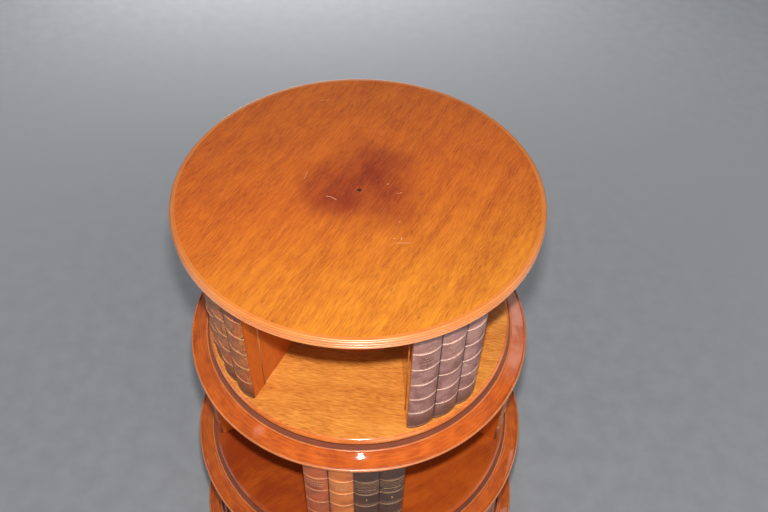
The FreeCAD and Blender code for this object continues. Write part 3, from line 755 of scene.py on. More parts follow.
# The beads are paler than the carcase; the paler colour partly stands for a painted highlight along each bead.
BEADING = Wood("beading", (0.62, 0.22, 0.060), (0.50, 0.15, 0.036), Grain.UPRIGHT, roughness=0.3,
               sheen=0.25)
BACKING = Wood("backing_wood", (0.50, 0.26, 0.12), (0.34, 0.16, 0.07), Grain.UPRIGHT, gloss=0.0)
PLUG = Wood("dark_plug", (0.035, 0.010, 0.005), (0.015, 0.005, 0.003), Grain.UPRIGHT)
STEEL = Metal("steel", (0.56, 0.56, 0.58), (0.24, 0.21, 0.19), 0.28)
BRASS = Metal("brass", (0.80, 0.56, 0.24), (0.36, 0.20, 0.08), 0.24)
GILT = GoldLeaf("gilt")


class Leather(Enum):
    """The leathers of the bindings."""

    # The third colour of each leather is its worn colour, which on the band crests also serves as a painted
    # highlight.
    PLUM = LeatherFinish("leather_plum", (0.320, 0.160, 0.136), (0.165, 0.066, 0.055), (0.80, 0.52, 0.40))
    RUSSET = LeatherFinish("leather_russet", (0.450, 0.092, 0.022), (0.280, 0.048, 0.013),
                           (0.68, 0.33, 0.14))
    TAN = LeatherFinish("leather_tan", (0.620, 0.172, 0.032), (0.410, 0.090, 0.017), (0.80, 0.44, 0.17))
    CHARCOAL = LeatherFinish("leather_charcoal", (0.076, 0.026, 0.012), (0.036, 0.012, 0.006),
                             (0.26, 0.13, 0.07))
    MARBLED = MarbledLeather("leather_marbled", (0.470, 0.112, 0.020), (0.130, 0.030, 0.010),
                             (0.60, 0.34, 0.15))

    @property
    def slot(self) -> str:
        """The record's material slot."""
        return "leather_tan" if self is Leather.RUSSET else self.value.name


class Title(Enum):
    """What fills a spine's title panel, between its two upper bands."""

    RUNS = "rows of short gilt dashes"
    FAINT = "a few worn gilt dashes"
    RULES = "gilt rules with a row of dashes"
    BARE = "nothing"


@dataclass(frozen=True)
class Binding:
    """How one spine is bound."""

    leather: Leather
    title: Title = Title.RUNS
    number: str = ""

    @property
    def gilded(self) -> bool:
        """Whether a gold line runs over each raised band."""
        return self.title is Title.RULES


def bound(leather: Leather, count: int, title: Title = Title.RUNS) -> tuple[Binding, ...]:
    """Give a set of spines that are bound alike."""
    return tuple(Binding(leather, title) for _ in range(count))


@dataclass(frozen=True)
class Tier:
    """One turning tier: the direction of its first pier, its books' sizes and their bindings."""

    name: str
    phase: float
    book_width: float
    band_pitch: float
    piers: tuple[tuple[Binding, ...], ...]

    @property
    def body(self) -> str:
        """The CAD body that the tier is."""
        return f"{self.name}_tier"


TIERS = (
    Tier("upper", -57.8, 41.1 * MM, 35.0 * MM, (
        bound(Leather.PLUM, 3, Title.FAINT), bound(Leather.RUSSET, 3),
        bound(Leather.CHARCOAL, 3, Title.RULES), bound(Leather.MARBLED, 3, Title.FAINT))),
    Tier("middle", -92.2, 38.5 * MM, 38.4 * MM, (
        (Binding(Leather.RUSSET), Binding(Leather.TAN), Binding(Leather.CHARCOAL, Title.RULES, "1"),
         Binding(Leather.CHARCOAL, Title.RULES, "2")),
        bound(Leather.MARBLED, 4), bound(Leather.PLUM, 4), bound(Leather.TAN, 2) + bound(Leather.RUSSET, 2))),
    Tier("lower", -28.0, 39.1 * MM, 38.4 * MM, (
        bound(Leather.PLUM, 5), bound(Leather.CHARCOAL, 5, Title.RULES), bound(Leather.RUSSET, 5),
        bound(Leather.MARBLED, 5))),
)


@dataclass
class TurnedWork:
    """Round boards and tubes, turned about the spindle from a profile of radius and height."""

    bench: Bench
    segments: int = 288
    ease: float = 0.5 * MM

    def turn(self, name: str, profile: np.ndarray, finishes: Sequence[bpy.types.Material], closed: bool,
             centre: Point = (0.0, 0.0), segments: int = 0, slots: np.ndarray | None = None,
             recess_shade_rim: float = 0.0) -> bpy.types.Object:
        """Turn a profile: point = centre + radius * (cos angle, sin angle), at its height.

        Args:
            name: of the piece.
            profile: radius and height of each point.
            finishes: its materials.
            closed: whether the profile closes on itself, as a ring's does.
            centre: the axis in plan.
            segments: round the axis.
            slots: the material of each stretch of the profile.
            recess_shade_rim: radius of a rim; painted shade lies on the ground inside it, and none outside it.

        Returns:
            The piece.
        """
        count = segments or self.segments
        profile, stretches = guarded(profile, closed)
        angle = np.linspace(0, 2 * np.pi, count, endpoint=False)
        radius, height = profile[:, :1], profile[:, 1:]
        points = np.stack([centre[0] + radius * np.cos(angle), centre[1] + radius * np.sin(angle),
                           height + 0 * angle], -1).reshape(-1, 3)
        faces = quads(len(profile), count, closed, True)
        # This attribute is positive on arrises, where the wood is worn paler, and negative in hollows and grooves,
        # where it becomes painted shade.
        wear_and_shade = np.where(profile[:, 0] < 15 * MM, 0.0, bending(profile, closed))
        # Inside the rim, the ground of the recess is darkened as painted shade; outside it, hollows are kept
        # almost free of that darkening.
        if recess_shade_rim:
            inside = (profile[:, 0] < recess_shade_rim + 0.01 * MM) & (profile[:, 1] > profile[:, 1].min() + MM)
            wear_and_shade = np.where(inside, np.minimum(wear_and_shade, -0.55), np.maximum(wear_and_shade, -0.12))
        wear_and_shade = np.repeat(wear_and_shade, count)
        numbers = None if slots is None else np.repeat(slots[stretches[:len(faces) // count]], count)
        return mesh_piece(name, points, faces, finishes, numbers, {"wear_and_shade": wear_and_shade})


@dataclass
class TableTop(TurnedWork):
    """The round top: one sheet of veneer over a core with three reeds round its edge."""

    reeds: int = 3
    reed_pitch: float = 4.4 * MM
    reed_radius: float = 2.26 * MM
    lip: float = 1.8 * MM
    plug_radius: float = 3 * MM
    plug_gap: float = 0.15 * MM

    def build(self) -> None:
        """Make the top and its plug."""
        low, high = self.bench.levels("table_top")
        depth = self.reed_radius - math.sqrt(self.reed_radius ** 2 - (self.reed_pitch / 2) ** 2)
        waist = self.bench.reach("table_top") - depth
        bottom = [np.array([[0.0, low], [waist - 6 * MM, low]])]
        reeds = [arc((waist, low + index * self.reed_pitch), (waist, low + (index + 1) * self.reed_pitch),
                     self.reed_radius, 12) for index in range(self.reeds)]
        shoulder = arc((waist, high - self.lip), (waist - self.lip, high), self.lip, 8)
        edge = np.vstack([*bottom, *reeds, shoulder, [[waist - 5 * MM, high], [waist - 6 * MM, high]]])
        hole = self.plug_radius + self.plug_gap
        plug_low = self.bench.levels("top_plug")[0]
        inner = np.array([[hole + 0.6 * MM, high], [hole, high - 0.2 * MM], [hole, plug_low], [0.0, plug_low]])
        profile = np.vstack([edge, inner])
        slots = (np.arange(len(profile)) < len(edge) - 1).astype(int)
        top = self.turn("reeded_top", profile, [self.bench.finish(TOP_VENEER), self.bench.finish(EDGE_WOOD)],
                        False, slots=slots)
        self.bench.fit(top, "top_veneer", "table_top")
        plug = eased(np.array([[0.0, plug_low], [self.plug_radius, plug_low],
                               [self.plug_radius, high], [0.0, high]]), 0.4 * MM, False)
        self.bench.fit(self.turn("centre_plug", plug, [self.bench.finish(PLUG)], False, segments=32),
                       "dark_plug", "top_plug")


@dataclass
class MouldedBoard(TurnedWork):
    """A round board with a bead, a sloping face and a raised lip round its edge."""

    thickness: float = 16 * MM
    rim_width: float = 27.5 * MM
    lip_width: float = 3 * MM
    step: float = 1.5 * MM
    bead: float = 2.6 * MM
    quirk: float = 3.6 * MM
    face_radius: float = 150 * MM
    recess: float = 3.5 * MM
    hole: float = 12 * MM
    lip_round: float = 1.4 * MM
    ovolo: Point = (2.4 * MM, 0.7 * MM)
    foot_drop: float = 1.4 * MM

    def build(self, node: str, name: str) -> None:
        """Make one board."""
        low = self.bench.levels(node)[0]
        edge = self.bench.reach(node)
        lip = edge - self.rim_width
        top, flat = low + self.thickness, low + self.thickness - self.recess
        foot = (edge - self.quirk, low + 2 * self.bead - self.foot_drop)
        rim, drop = lip + self.lip_width, top - self.step
        shoulder = (rim + self.ovolo[0], drop - self.ovolo[1])
        face = arc(foot, shoulder, self.face_radius, 16)
        roll = arc(shoulder, (rim, drop), 2.2 * MM, 7)
        bead = arc((edge - self.bead, low), (edge - self.bead, low + 2 * self.bead), self.bead, 14)
        outer = arc((rim, top - self.lip_round), (rim - self.lip_round, top), self.lip_round, 7)
        inner = arc((lip + self.lip_round, top), (lip, top - self.lip_round), self.lip_round, 7)
        outline = np.vstack([[[self.hole, low]], bead, face, roll[1:], outer, inner,
                             [[lip, flat], [self.hole, flat]]])
        profile = eased(outline, self.ease)
        radius, height = profile.T
        rolled = ((radius > lip - 0.1 * MM) & (radius < rim + 0.1 * MM) & (height > flat + 1 * MM)
                  | (radius > edge - 1.8 * self.bead) & (height < low + 2.2 * self.bead))
        finishes = [self.bench.finish(JOINTED if node == "middle_board" else MOULDING),
                    self.bench.finish(ROLLED)]
        board = self.turn(name, profile, finishes, True, recess_shade_rim=lip,
                          slots=(rolled & np.roll(rolled, -1)).astype(int))
        self.bench.fit(board, "moulding_mahogany", node)


@dataclass
class TierFloor(TurnedWork):
    """A tier's round floor, with a rolled edge."""

    top_round: float = 6.5 * MM
    bottom_round: float = 3 * MM
    hole: float = 12.1 * MM

    def build(self, tier: Tier) -> None:
        """Make the floor of one tier."""
        node = f"{tier.name}_floor"
        low, high = self.bench.levels(node)
        edge = self.bench.reach(node)
        outline = np.vstack([
            [[self.hole, low]],
            arc((edge - self.bottom_round, low), (edge, low + self.bottom_round), self.bottom_round, 8),
            arc((edge, high - self.top_round), (edge - self.top_round, high), self.top_round, 12),
            [[edge - self.top_round - 0.5 * MM, high], [self.hole, high]]])
        finish = self.bench.finish(SHELF if tier.name == "upper" else OLD_SHELF)
        floor = self.turn(f"{tier.name}_shelf", outline, [finish], True)
        self.bench.fit(floor, "shelf_mahogany", node)


@dataclass
class Drum(TurnedWork):
    """The tube in the middle of a tier."""

    wall: float = 9 * MM

    def build(self, tier: Tier) -> None:
        """Make the drum of one tier."""
        node = f"{tier.name}_drum"
        low, high = self.bench.levels(node)
        outer = self.bench.reach(node)
        outline = np.array([[outer - self.wall, low], [outer, low], [outer, high], [outer - self.wall, high]])
        drum = self.turn(f"{tier.name}_core", eased(outline, self.ease), [self.bench.finish(CARCASE)], True)
        self.bench.fit(drum, "carcase_mahogany", node)


@dataclass
class Plinth(TurnedWork):
    """The round plinth, with a moulding at its foot, and its four turned feet."""

    wall: float = 52 * MM
    moulding: float = 8 * MM
    moulding_height: float = 14 * MM
    cove: float = 9 * MM
    foot_sole: float = 15 * MM
    foot_neck: float = 6 * MM
    foot_peg: float = 8 * MM
    foot_belly: float = 12 * MM

    def build(self) -> None:
        """Make the plinth and the feet."""
        low, high = self.bench.levels("plinth")
        outer = self.bench.reach("plinth")
        face = outer - self.moulding
        cove = arc((outer, low + self.moulding_height), (face, low + self.moulding_height + self.cove),
                   -self.cove, 12)
        outline = np.vstack([[[face - self.wall, low], [outer, low]], cove, [[face, high],
                                                                           [face - self.wall, high]]])
        ring = self.turn("round_plinth", eased(outline, self.ease), [self.bench.finish(PLINTH)], True)
        self.bench.fit(ring, "plinth_mahogany", "plinth")
        for number in range(1, 5):
            self.foot(f"foot_{number}", low)

    def foot(self, node: str, top: float) -> None:
        """Make one bun foot on its own axis, with the peg that stands in the plinth."""
        low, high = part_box(node)
        centre = ((low.x + high.x) / 2, (low.y + high.y) / 2)
        neck = top - self.foot_neck
        half = (neck - low.z) / 2
        swell = (half ** 2 + self.foot_belly ** 2) / (2 * self.foot_belly)
        outline = np.vstack([
            [[0.0, low.z]], arc((self.foot_sole, low.z), (self.foot_sole, neck), swell, 28),
            [[self.foot_sole, top], [self.foot_peg, top], [self.foot_peg, high.z], [0.0, high.z]]])
        foot = self.turn(f"bun_{node}", eased(outline, self.ease, False), [self.bench.finish(PLINTH)],
                         False, centre, 96)
        self.bench.fit(foot, "plinth_mahogany", node)


@dataclass
class Carcase:
    """The upright boards of a tier, cut from the CAD's own solids with their arrises taken off."""

    bench: Bench
    stile_arris: float = 1.1 * MM
    panel_arris: float = 0.5 * MM
    setback: float = 13 * MM
    cheek_angle: float = 30.0
    stile_width: float = 26 * MM
    bead_radius: float = 1.4 * MM
    bead_sink: float = 0.5 * MM

    def build(self, tier: Tier) -> None:
        """Make the stiles, the cheek panels and the beads between them of one tier."""
        self.softened(f"{tier.name}_stiles", f"{tier.name}_posts", self.stile_arris)
        self.softened(f"{tier.name}_cheek_panels", f"{tier.name}_cheeks", self.panel_arris)
        self.beads(tier)

    def beads(self, tier: Tier) -> None:
        """Make the thin half-round beads behind the stiles, eight to a tier.

        In plan, a cheek's front corner lies on the arc of the spines' backs at half the pier's
        angle; the bead's middle lies a stile's width and a bead's radius back from it along the
        cheek, and the bead's points lie round that middle.
        """
        seat = self.bench.reach(f"{tier.name}_floor") - self.setback
        half = len(tier.piers[0]) * tier.book_width / (seat + 7 * MM) / 2
        slope = math.radians(self.cheek_angle)
        back = np.array([-math.cos(slope), -math.sin(slope)])
        away = np.array([-math.sin(slope), math.cos(slope)])
        corner = seat * np.array([math.cos(half), math.sin(half)])
        middle = corner + back * (self.stile_width + self.bead_radius) - away * self.bead_sink
        sweep = np.linspace(-0.35 * math.pi, 1.35 * math.pi, 14)[:, None]
        plan = middle + self.bead_radius * (np.sin(sweep) * away + np.cos(sweep) * back)
        low, high = self.bench.levels(f"{tier.name}_stiles")
        levels = np.array([low, low + 0.01 * MM, high - 0.01 * MM, high])
        points, faces = [], []
        for pier in range(len(tier.piers)):
            for side in (1.0, -1.0):
                turn = math.radians(tier.phase + 90 * pier)
                x, y = plan[:, 0], plan[:, 1] * side
                spot = np.stack([x * math.cos(turn) - y * math.sin(turn),
                                 x * math.sin(turn) + y * math.cos(turn)], -1)
                rows = [np.column_stack([spot, np.full(len(spot), level)]) for level in levels]
                rows[0] = rows[0] * 0 + rows[0].mean(0)
                rows[-1] = rows[-1] * 0 + rows[-1].mean(0)
                faces.append(quads(len(levels), len(spot), False, True) + sum(map(len, points)))
                points.append(np.vstack(rows))
        strip = mesh_piece(f"{tier.name}_beads", np.vstack(points), np.vstack(faces),
                           [self.bench.finish(BEADING)])
        self.bench.fit(strip, "carcase_mahogany", body=tier.body)

    def softened(self, node: str, name: str, arris: float) -> None:
        """Copy a node's solids, merge them and round their edges."""
        mesh = self.bench.frame["nodes"][node].data.copy()
        mesh.name = name
        work = bmesh.new()
        work.from_mesh(mesh)
        bmesh.ops.remove_doubles(work, verts=work.verts, dist=0.01 * MM)
        bmesh.ops.dissolve_limit(work, angle_limit=math.radians(1.0), verts=work.verts, edges=work.edges)
        sharp = [edge for edge in work.edges if edge.is_manifold and edge.calc_face_angle() > 0.5]
        bmesh.ops.bevel(work, geom=sharp, offset=arris, segments=3, profile=0.5, affect="EDGES",
                        clamp_overlap=True, harden_normals=False)
        bmesh.ops.recalc_face_normals(work, faces=work.faces)
        work.to_mesh(mesh)
        work.free()
        mesh.polygons.foreach_set("use_smooth", np.ones(len(mesh.polygons), bool))
        mesh.materials.clear()
        mesh.materials.append(self.bench.finish(CARCASE))
        boards = bpy.data.objects.new(name, mesh)
        bpy.context.scene.collection.objects.link(boards)
        weighted = boards.modifiers.new("flats", "WEIGHTED_NORMAL")
        weighted.keep_sharp = False
        self.bench.fit(boards, "carcase_mahogany", node)


class Strip(Enum):
    """What lies between two neighbouring heights of a spine."""

    LEATHER = 0
    RULE = 1
    LONG_DASHES = 2
    SHORT_DASHES = 3
    FEW_DASHES = 4


@dataclass
class SpineRows:
    """Heights of a spine's grid, each with how far it stands out and what lies above it."""

    height: list[float]
    rise: list[float]
    strip: list[Strip]

    def add(self, height: float, rise: float = 0.0, strip: Strip = Strip.LEATHER) -> None:
        """Add a height, in metres above the floor."""
        self.height.append(height)
        self.rise.append(rise)
        self.strip.append(strip)


@dataclass
class BookRow:
    """The row of leather spines of one pier."""

    bench: Bench
    tier: Tier
    pier: int
    setback: float = 6 * MM
    side: float = 3 * MM
    crown: float = 4 * MM
    gap: float = 0.5 * MM
    first_band: float = 40.5 * MM
    bands: int = 5
    band_half: float = 2 * MM
    band_rise: float = 1.5 * MM
    cap: float = 2.2 * MM
    columns: int = 56
    rule_half: float = 0.45 * MM

    def build(self) -> None:
        """Make the pier's spines as one piece, and its numerals."""
        node = f"{self.tier.name}_books_{self.pier + 1}"
        self.low, self.high = self.bench.levels(node)
        self.face = self.bench.reach(f"{self.tier.name}_floor") - self.setback
        bindings = self.tier.piers[self.pier]
        turn = self.tier.book_width / self.face
        first = math.radians(self.tier.phase + 90 * self.pier) - turn * (len(bindings) - 1) / 2
        leathers = list(dict.fromkeys(binding.leather for binding in bindings))
        finishes = [self.bench.finish(leather.value) for leather in leathers] + [self.bench.finish(GILT)]
        seeds = np.random.default_rng([ord(self.tier.name[0]), self.pier])
        points, faces, slots, places, wear_and_shade_rows, tints = [], [], [], [], [], []
        for number, binding in enumerate(bindings):
            angle = first + number * turn
            rows = self.rows(binding)
            shape, place, wear_and_shade = self.spine(rows, angle, seeds, (number > 0, number < len(bindings) - 1))
            grid = quads(len(rows.height) + 2, shape.shape[1], False, True)
            faces.append(grid + sum(map(len, points)))
            points.append(shape.reshape(-1, 3))
            slots.append(self.slots(rows, shape.shape[1], leathers.index(binding.leather), len(leathers),
                                    seeds))
            places.append(place.reshape(-1, 3) + np.array([0.0, 0.0, 0.37 * number + self.pier]))
            wear_and_shade_rows.append(wear_and_shade.ravel())
            tints.append(np.full(wear_and_shade.size, seeds.uniform(0, 1)))
            if binding.number:
                self.numeral(binding.number, angle)
        row = mesh_piece(f"{self.tier.name}_spines_{self.pier + 1}", np.vstack(points), np.vstack(faces),
                         finishes, np.concatenate(slots), {
                             "leather": np.vstack(places), "wear_and_shade": np.concatenate(wear_and_shade_rows),
                             "tint": np.concatenate(tints)})
        self.bench.fit(row, bindings[0].leather.slot, node)

    def band_heights(self) -> list[float]:
        """Give the middles of the raised bands above the floor."""
        return [self.first_band + index * self.tier.band_pitch for index in range(self.bands)]

    def rows(self, binding: Binding) -> SpineRows:
        """Lay out a spine's heights: rounded ends, bands, each with a gilt rule when the binding is gilded, and
        the title panel.
        """
        rows = SpineRows([], [], [])
        total = self.high - self.low
        for share in (0.0, 0.06, 0.2, 0.45, 0.7, 1.0):
            rows.add(share * self.cap, -self.cap * 0.6 * (1 - share) ** 2)
        heights = self.band_heights()
        rows.add(5.2 * MM, 0.0, Strip.RULE)
        rows.add(5.9 * MM)
        for index, middle in enumerate(heights):
            for offset, lift in ((-2.6, 0.0), (-2.0, 0.03), (-1.75, 0.35), (-1.35, 0.72), (-0.8, 0.95)):
                rows.add(middle + offset * MM, lift * self.band_rise)
            rows.add(middle - self.rule_half, self.band_rise, Strip.RULE if binding.gilded else Strip.LEATHER)
            rows.add(middle + self.rule_half, self.band_rise)
            for offset, lift in ((0.8, 0.95), (1.35, 0.72), (1.75, 0.35), (2.0, 0.03), (2.6, 0.0)):
                rows.add(middle + offset * MM, lift * self.band_rise)
            if index == self.bands - 2:
                self.title(rows, middle, heights[index + 1], binding.title)
            elif index < self.bands - 1 and binding.title is Title.RULES:
                self.rule(rows, middle + 4.2 * MM)
                self.rule(rows, heights[index + 1] - 4.2 * MM)
            elif index < self.bands - 1:
                rows.add((middle + heights[index + 1]) / 2)
        rows.add(total - 5.9 * MM, 0.0, Strip.RULE)
        rows.add(total - 5.2 * MM)
        for share in (1.0, 0.7, 0.45, 0.2, 0.06, 0.0):
            rows.add(total - share * self.cap, -self.cap * 0.6 * (1 - share) ** 2)
        return rows

    def rule(self, rows: SpineRows, middle: float) -> None:
        """Add a thin rule."""
        rows.add(middle - 0.28 * MM, 0.0, Strip.RULE)
        rows.add(middle + 0.28 * MM)

    def title(self, rows: SpineRows, low: float, high: float, title: Title) -> None:
        """Fill the title panel from one band to the next."""
        space = high - low
        if title is Title.RUNS:
            for share, strip in ((0.30, Strip.SHORT_DASHES), (0.46, Strip.LONG_DASHES),
                                 (0.66, Strip.LONG_DASHES)):
                rows.add(low + share * space, 0.0, strip)
                rows.add(low + share * space + 2.1 * MM)
        elif title is Title.FAINT:
            for share, strip in ((0.32, Strip.SHORT_DASHES), (0.50, Strip.FEW_DASHES),
                                 (0.68, Strip.FEW_DASHES)):
                rows.add(low + share * space, 0.0, strip)
                rows.add(low + share * space + 1.5 * MM)
        elif title is Title.RULES:
            self.rule(rows, low + 0.16 * space)
            rows.add(low + 0.28 * space, 0.0, Strip.LONG_DASHES)
            rows.add(low + 0.28 * space + 2.2 * MM)
            self.rule(rows, low + 0.48 * space)
            self.rule(rows, low + 0.60 * space)
            self.rule(rows, low + 0.72 * space)
            self.rule(rows, low + 0.84 * space)

    def spine(self, rows: SpineRows, angle: float, seeds: np.random.Generator, joined: tuple[bool, bool],
              ) -> tuple[np.ndarray, np.ndarray, np.ndarray]:
        """Work out one spine's closed grid.

        In plan, the front is an arc through the two sides and the crown, whose centre lies at
        crown - (w^2 + h^2) / (2 h) for a half width w and a height h over the sides; the crown
        stands out further in the rows of a band. Two sides and a hollow back close the outline,
        and a first and a last row drawn to the middle close the ends.

        Args:
            rows: the heights.
            angle: the spine's direction, in radians.
            seeds: the source of its unevenness.
            joined: whether a neighbour stands at its near and its far side.

        Returns:
            The points, the place of each on the leather, and for each a number that is positive where it is worn
            paler, with a painted highlight on the band crests, and negative where painted shade and darkening
            towards the bottom fall on it.
        """
        seat = self.face - self.side - self.crown
        half = self.tier.book_width / self.face / 2 - self.gap / 2 / seat
        rise = np.array(rows.rise)[:, None]
        height = np.array(rows.height)[:, None]
        slow = np.sin(height / 31 / MM + seeds.uniform(0, 6)) + np.sin(height / 13 / MM + seeds.uniform(0, 6))
        crown = self.face + rise + slow * 0.10 * MM
        side = seat + self.side + np.minimum(rise, 0)
        width = side * math.sin(half)
        over = crown - side * math.cos(half)
        radius = (width ** 2 + over ** 2) / (2 * over)
        share = np.sin(np.linspace(-1, 1, self.columns) * math.pi / 2 * 0.94) / math.sin(math.pi / 2 * 0.94)
        swing = np.arcsin(np.clip(width / radius, -1, 1)) * share
        out = crown - radius + radius * np.cos(swing)
        across = radius * np.sin(swing)
        turn = np.array([half, half * 0.33, -half * 0.33, -half])
        back_out = np.broadcast_to(seat * np.cos(turn), (len(height), 4))
        back_across = np.broadcast_to(seat * np.sin(turn), (len(height), 4))
        out = np.hstack([out, back_out])
        across = np.hstack([across, back_across])
        ends = [(0, slice(0, 1)), (-1, slice(-1, None))]
        level = np.broadcast_to(height, out.shape)
        middle = (seat + self.crown / 2) + 0 * out[:1]
        out = np.vstack([middle, out, middle])
        across = np.vstack([0 * middle, across, 0 * middle])
        level = np.vstack([level[ends[0][1]], level, level[ends[1][1]]])
        shape = np.stack([out * math.cos(angle) - across * math.sin(angle),
                          out * math.sin(angle) + across * math.cos(angle), self.low + level], -1)
        place = np.stack([across, level, 0.3 * (out - seat)], -1)
        lift = np.vstack([rise[:1], rise, rise[-1:]]) / self.band_rise
        rounding = np.abs(across) / np.abs(across).max()
        # Band crests and the spine's ends: worn paler, and on the crests partly a painted highlight.
        rub_and_highlight = np.maximum(lift, 0) ** 3 + np.where(lift < 0, 0.6, 0)
        # At the foot of each band: painted shadow.
        foot = np.exp(-((lift - 0.12) / 0.12) ** 2) * self.near_band(rows)
        near, far = (float(side) for side in joined)
        # At the sides where a neighbour stands: painted shade between the spines.
        joint = np.clip((rounding - 0.93) / 0.07, 0, 1) * np.where(across < 0, near, far)
        # Darker towards the bottom of the spine.
        low_darkening = np.clip(1 - level / (44 * MM), 0, 1) * 0.8 * (lift < 0.05)
        wear_and_shade = np.clip(rub_and_highlight * 1.1 - foot * 0.55 - joint * 0.8 - low_darkening, -1, 1)
        return shape, place, wear_and_shade

    def near_band(self, rows: SpineRows) -> np.ndarray:
        """Say which heights, with the two ends, lie at the foot of a raised band."""
        height = np.array([rows.height[0], *rows.height, rows.height[-1]])[:, None]
        off = np.abs(height - np.array(self.band_heights())[None, :]).min(1, keepdims=True)
        return (off < 2.7 * MM).astype(float)

    def slots(self, rows: SpineRows, around: int, leather: int, gilt: int,
              seeds: np.random.Generator) -> np.ndarray:
        """Say which faces of a spine are gilt: rules right across, and dashes of uneven length."""
        slots = np.full((len(rows.height) + 1, around), leather)
        for index, strip in enumerate(rows.strip):
            front = slots[index + 1, 1:self.columns - 2]
            if strip is Strip.RULE:
                front[:] = gilt
            elif strip is not Strip.LEATHER:
                front[self.dashes(len(front), strip, seeds)] = gilt
        return slots.ravel()

    def dashes(self, count: int, strip: Strip, seeds: np.random.Generator) -> np.ndarray:
        """Mark a centred row of dashes, each one to three columns long with a gap after it."""
        margin = {Strip.LONG_DASHES: 0.20, Strip.SHORT_DASHES: 0.32, Strip.FEW_DASHES: 0.30}[strip]
        runs = seeds.integers(1, 3 if strip is Strip.FEW_DASHES else 4, size=count)
        starts = np.concatenate([[0], np.cumsum(runs + 1)[:-1]])
        column = np.arange(count)
        inside = column[:, None] - starts[None, :]
        lit = ((inside >= 0) & (inside < runs[None, :])).any(1)
        lit &= (column > count * margin) & (column < count * (1 - margin))
        return lit & (seeds.random(count) < 0.55) if strip is Strip.FEW_DASHES else lit

    def numeral(self, text: str, angle: float) -> None:
        """Set a plain gilt numeral on the crown, below the title panel, bent to the spine."""
        name = f"{self.tier.name}_numeral_{text}"
        curve = bpy.data.curves.new(name, "FONT")
        curve.body = text
        curve.size = 8.5 * MM
        curve.extrude = 0.12 * MM
        curve.align_x = "CENTER"
        curve.align_y = "CENTER"
        mesh = bpy.data.meshes.new_from_object(bpy.data.objects.new(name, curve))
        flat = np.empty(len(mesh.vertices) * 3, np.float32)
        mesh.vertices.foreach_get("co", flat)
        across, up, out = flat.reshape(-1, 3).T
        heights = self.band_heights()
        middle = (heights[-3] + heights[-2]) / 2
        curve_radius = 33 * MM
        radius = self.face + 0.1 * MM + out - across ** 2 / (2 * curve_radius)
        points = np.stack([radius * math.cos(angle) - across * math.sin(angle),
                           radius * math.sin(angle) + across * math.cos(angle),
                           self.low + middle + up], -1)
        mesh.vertices.foreach_set("co", points.astype(np.float32).ravel())
        mesh.materials.clear()
        mesh.materials.append(self.bench.finish(GILT))
        close_up(mesh)
        mesh.polygons.foreach_set("use_smooth", np.zeros(len(mesh.polygons), bool))
        piece = bpy.data.objects.new(name, mesh)
        bpy.context.scene.collection.objects.link(piece)
        self.bench.fit(piece, "gilt", body=self.tier.body)


@dataclass
class InnerWorks:
    """The pieces that keep their CAD shape: backing boards, spindle, bushes and turntables."""

    bench: Bench

    def dress(self) -> None:
        """Give each CAD node that still shows its finish."""
        for node, piece in self.bench.frame["nodes"].items():
            if node.endswith("_backing_boards"):
                finish = BACKING
            elif node.endswith("_bush"):
                finish = BRASS
            elif any(word in node for word in ("race", "balls", "spindle")):
                finish = STEEL
            else:
                continue
            piece.data.materials.clear()
            piece.data.materials.append(self.bench.finish(finish))


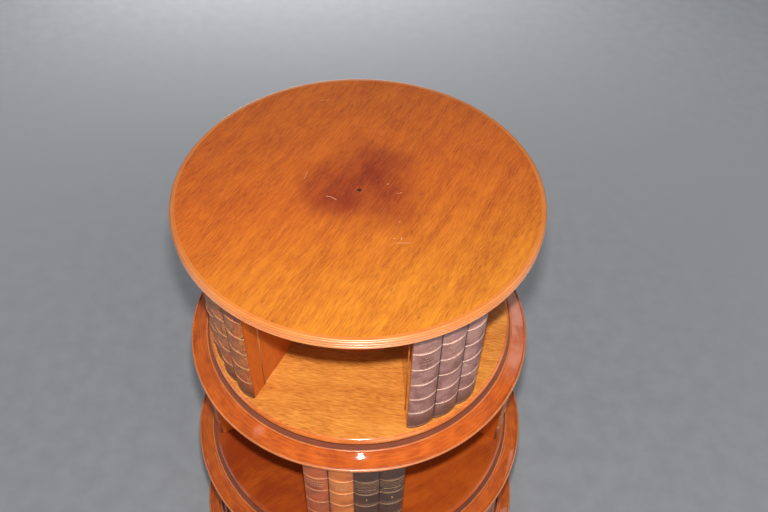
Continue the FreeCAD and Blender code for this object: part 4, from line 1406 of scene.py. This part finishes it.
@dataclass
class Studio:
    """The camera, a pale floor with painted shade round the bookcase, and soft light."""

    eye: tuple[float, float, float] = (0.0, -0.80169, 1.71163)
    yaw: float = 2.5807
    pitch: float = 48.0676
    roll: float = -1.6865
    lens: float = 38.018
    target: tuple[float, float, float] = (0.0, 0.0, 0.75)

    def build(self) -> None:
        """Set the whole stage."""
        self.camera()
        self.floor()
        self.light("key", (0.003, -0.745, 1.762), 0.032, 21.0, (1.0, 0.97, 0.93))
        self.light("soft_front", (0.9, -2.5, 0.9), 1.6, 26.0, (1.0, 0.98, 0.96))
        self.light("soft_right", (2.4, -0.2, 0.8), 1.4, 9.0, (0.96, 0.98, 1.0))
        self.light("soft_left", (-2.4, -0.3, 0.7), 1.4, 10.0, (0.96, 0.98, 1.0))
        self.light("soft_back", (-0.3, 2.8, 1.0), 1.8, 34.0, (1.0, 0.98, 0.95))
        world = bpy.data.worlds.new("studio")
        world.use_nodes = True
        world.node_tree.nodes["Background"].inputs["Color"].default_value = (0.88, 0.93, 1.0, 1.0)
        world.node_tree.nodes["Background"].inputs["Strength"].default_value = 0.20
        bpy.context.scene.world = world
        bpy.context.scene.view_settings.view_transform = "Standard"

    def camera(self) -> None:
        """Place the camera by its yaw, pitch and roll."""
        yaw, pitch, roll = (math.radians(turn) for turn in (self.yaw, self.pitch, self.roll))
        ahead = Vector((math.sin(yaw) * math.cos(pitch), math.cos(yaw) * math.cos(pitch), -math.sin(pitch)))
        right = Vector((math.cos(yaw), -math.sin(yaw), 0.0))
        down = ahead.cross(right)
        across = right * math.cos(roll) + down * math.sin(roll)
        below = down * math.cos(roll) - right * math.sin(roll)
        data = bpy.data.cameras.new("camera")
        data.lens = self.lens
        data.sensor_width = 36.0
        camera = bpy.data.objects.new("camera", data)
        turn = Matrix((across, -below, -ahead)).transposed()
        camera.matrix_world = Matrix.Translation(self.eye) @ turn.to_4x4()
        bpy.context.scene.collection.objects.link(camera)
        bpy.context.scene.camera = camera

    def floor(self) -> None:
        """Lay a pale floor, painted darker towards the bookcase as painted shade."""
        reach = 6.0
        corners = np.array([[-reach, -reach, 0], [reach, -reach, 0], [reach, reach, 0], [-reach, reach, 0]])
        paint = Paint("pale_floor")
        x, y, z = paint.position()
        mottle = paint.noise(paint.vector(x, y, z), 22.0, 5.0).rises(0.25, 0.75)
        # Painted shade: the floor's grey darkens towards the bookcase.
        near = paint.math("SQRT", x * x + y * y).falls(0.4, 3.0)
        shaded_cloth = paint.mix((0.60, 0.62, 0.66), (0.29, 0.30, 0.32), near)
        finish = paint.finish(Base_Color=paint.mix(shaded_cloth, (0.40, 0.42, 0.45), mottle * 0.3),
                              Roughness=0.95, Specular_IOR_Level=0.2)
        mesh_piece("pale_floor", corners, np.array([[0, 1, 2, 3]]), [finish])

    def light(self, name: str, place: tuple[float, float, float], size: float, power: float,
              colour: Rgb) -> None:
        """Hang a square lamp that faces the bookcase."""
        data = bpy.data.lights.new(name, "AREA")
        data.shape = "SQUARE"
        data.size = size
        data.energy = power
        data.color = colour
        lamp = bpy.data.objects.new(name, data)
        lamp.location = place
        lamp.rotation_mode = "QUATERNION"
        lamp.rotation_quaternion = (Vector(self.target) - Vector(place)).to_track_quat("-Z", "Y")
        bpy.context.scene.collection.objects.link(lamp)


def main() -> None:
    """Build the bookcase from the bottom up, then the studio."""
    logging.basicConfig(level=logging.INFO, format="%(message)s")
    bench = Bench()
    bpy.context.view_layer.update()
    Plinth(bench).build()
    board = MouldedBoard(bench)
    board.build("base_board", "base_moulding")
    board.build("lower_board", "lower_moulding")
    board.build("middle_board", "middle_moulding")
    for tier in TIERS:
        TierFloor(bench).build(tier)
        Drum(bench).build(tier)
        Carcase(bench).build(tier)
        for pier in range(len(tier.piers)):
            BookRow(bench, tier, pier).build()
    TableTop(bench).build()
    InnerWorks(bench).dress()
    Studio().build()


if __name__ == "__main__":
    main()
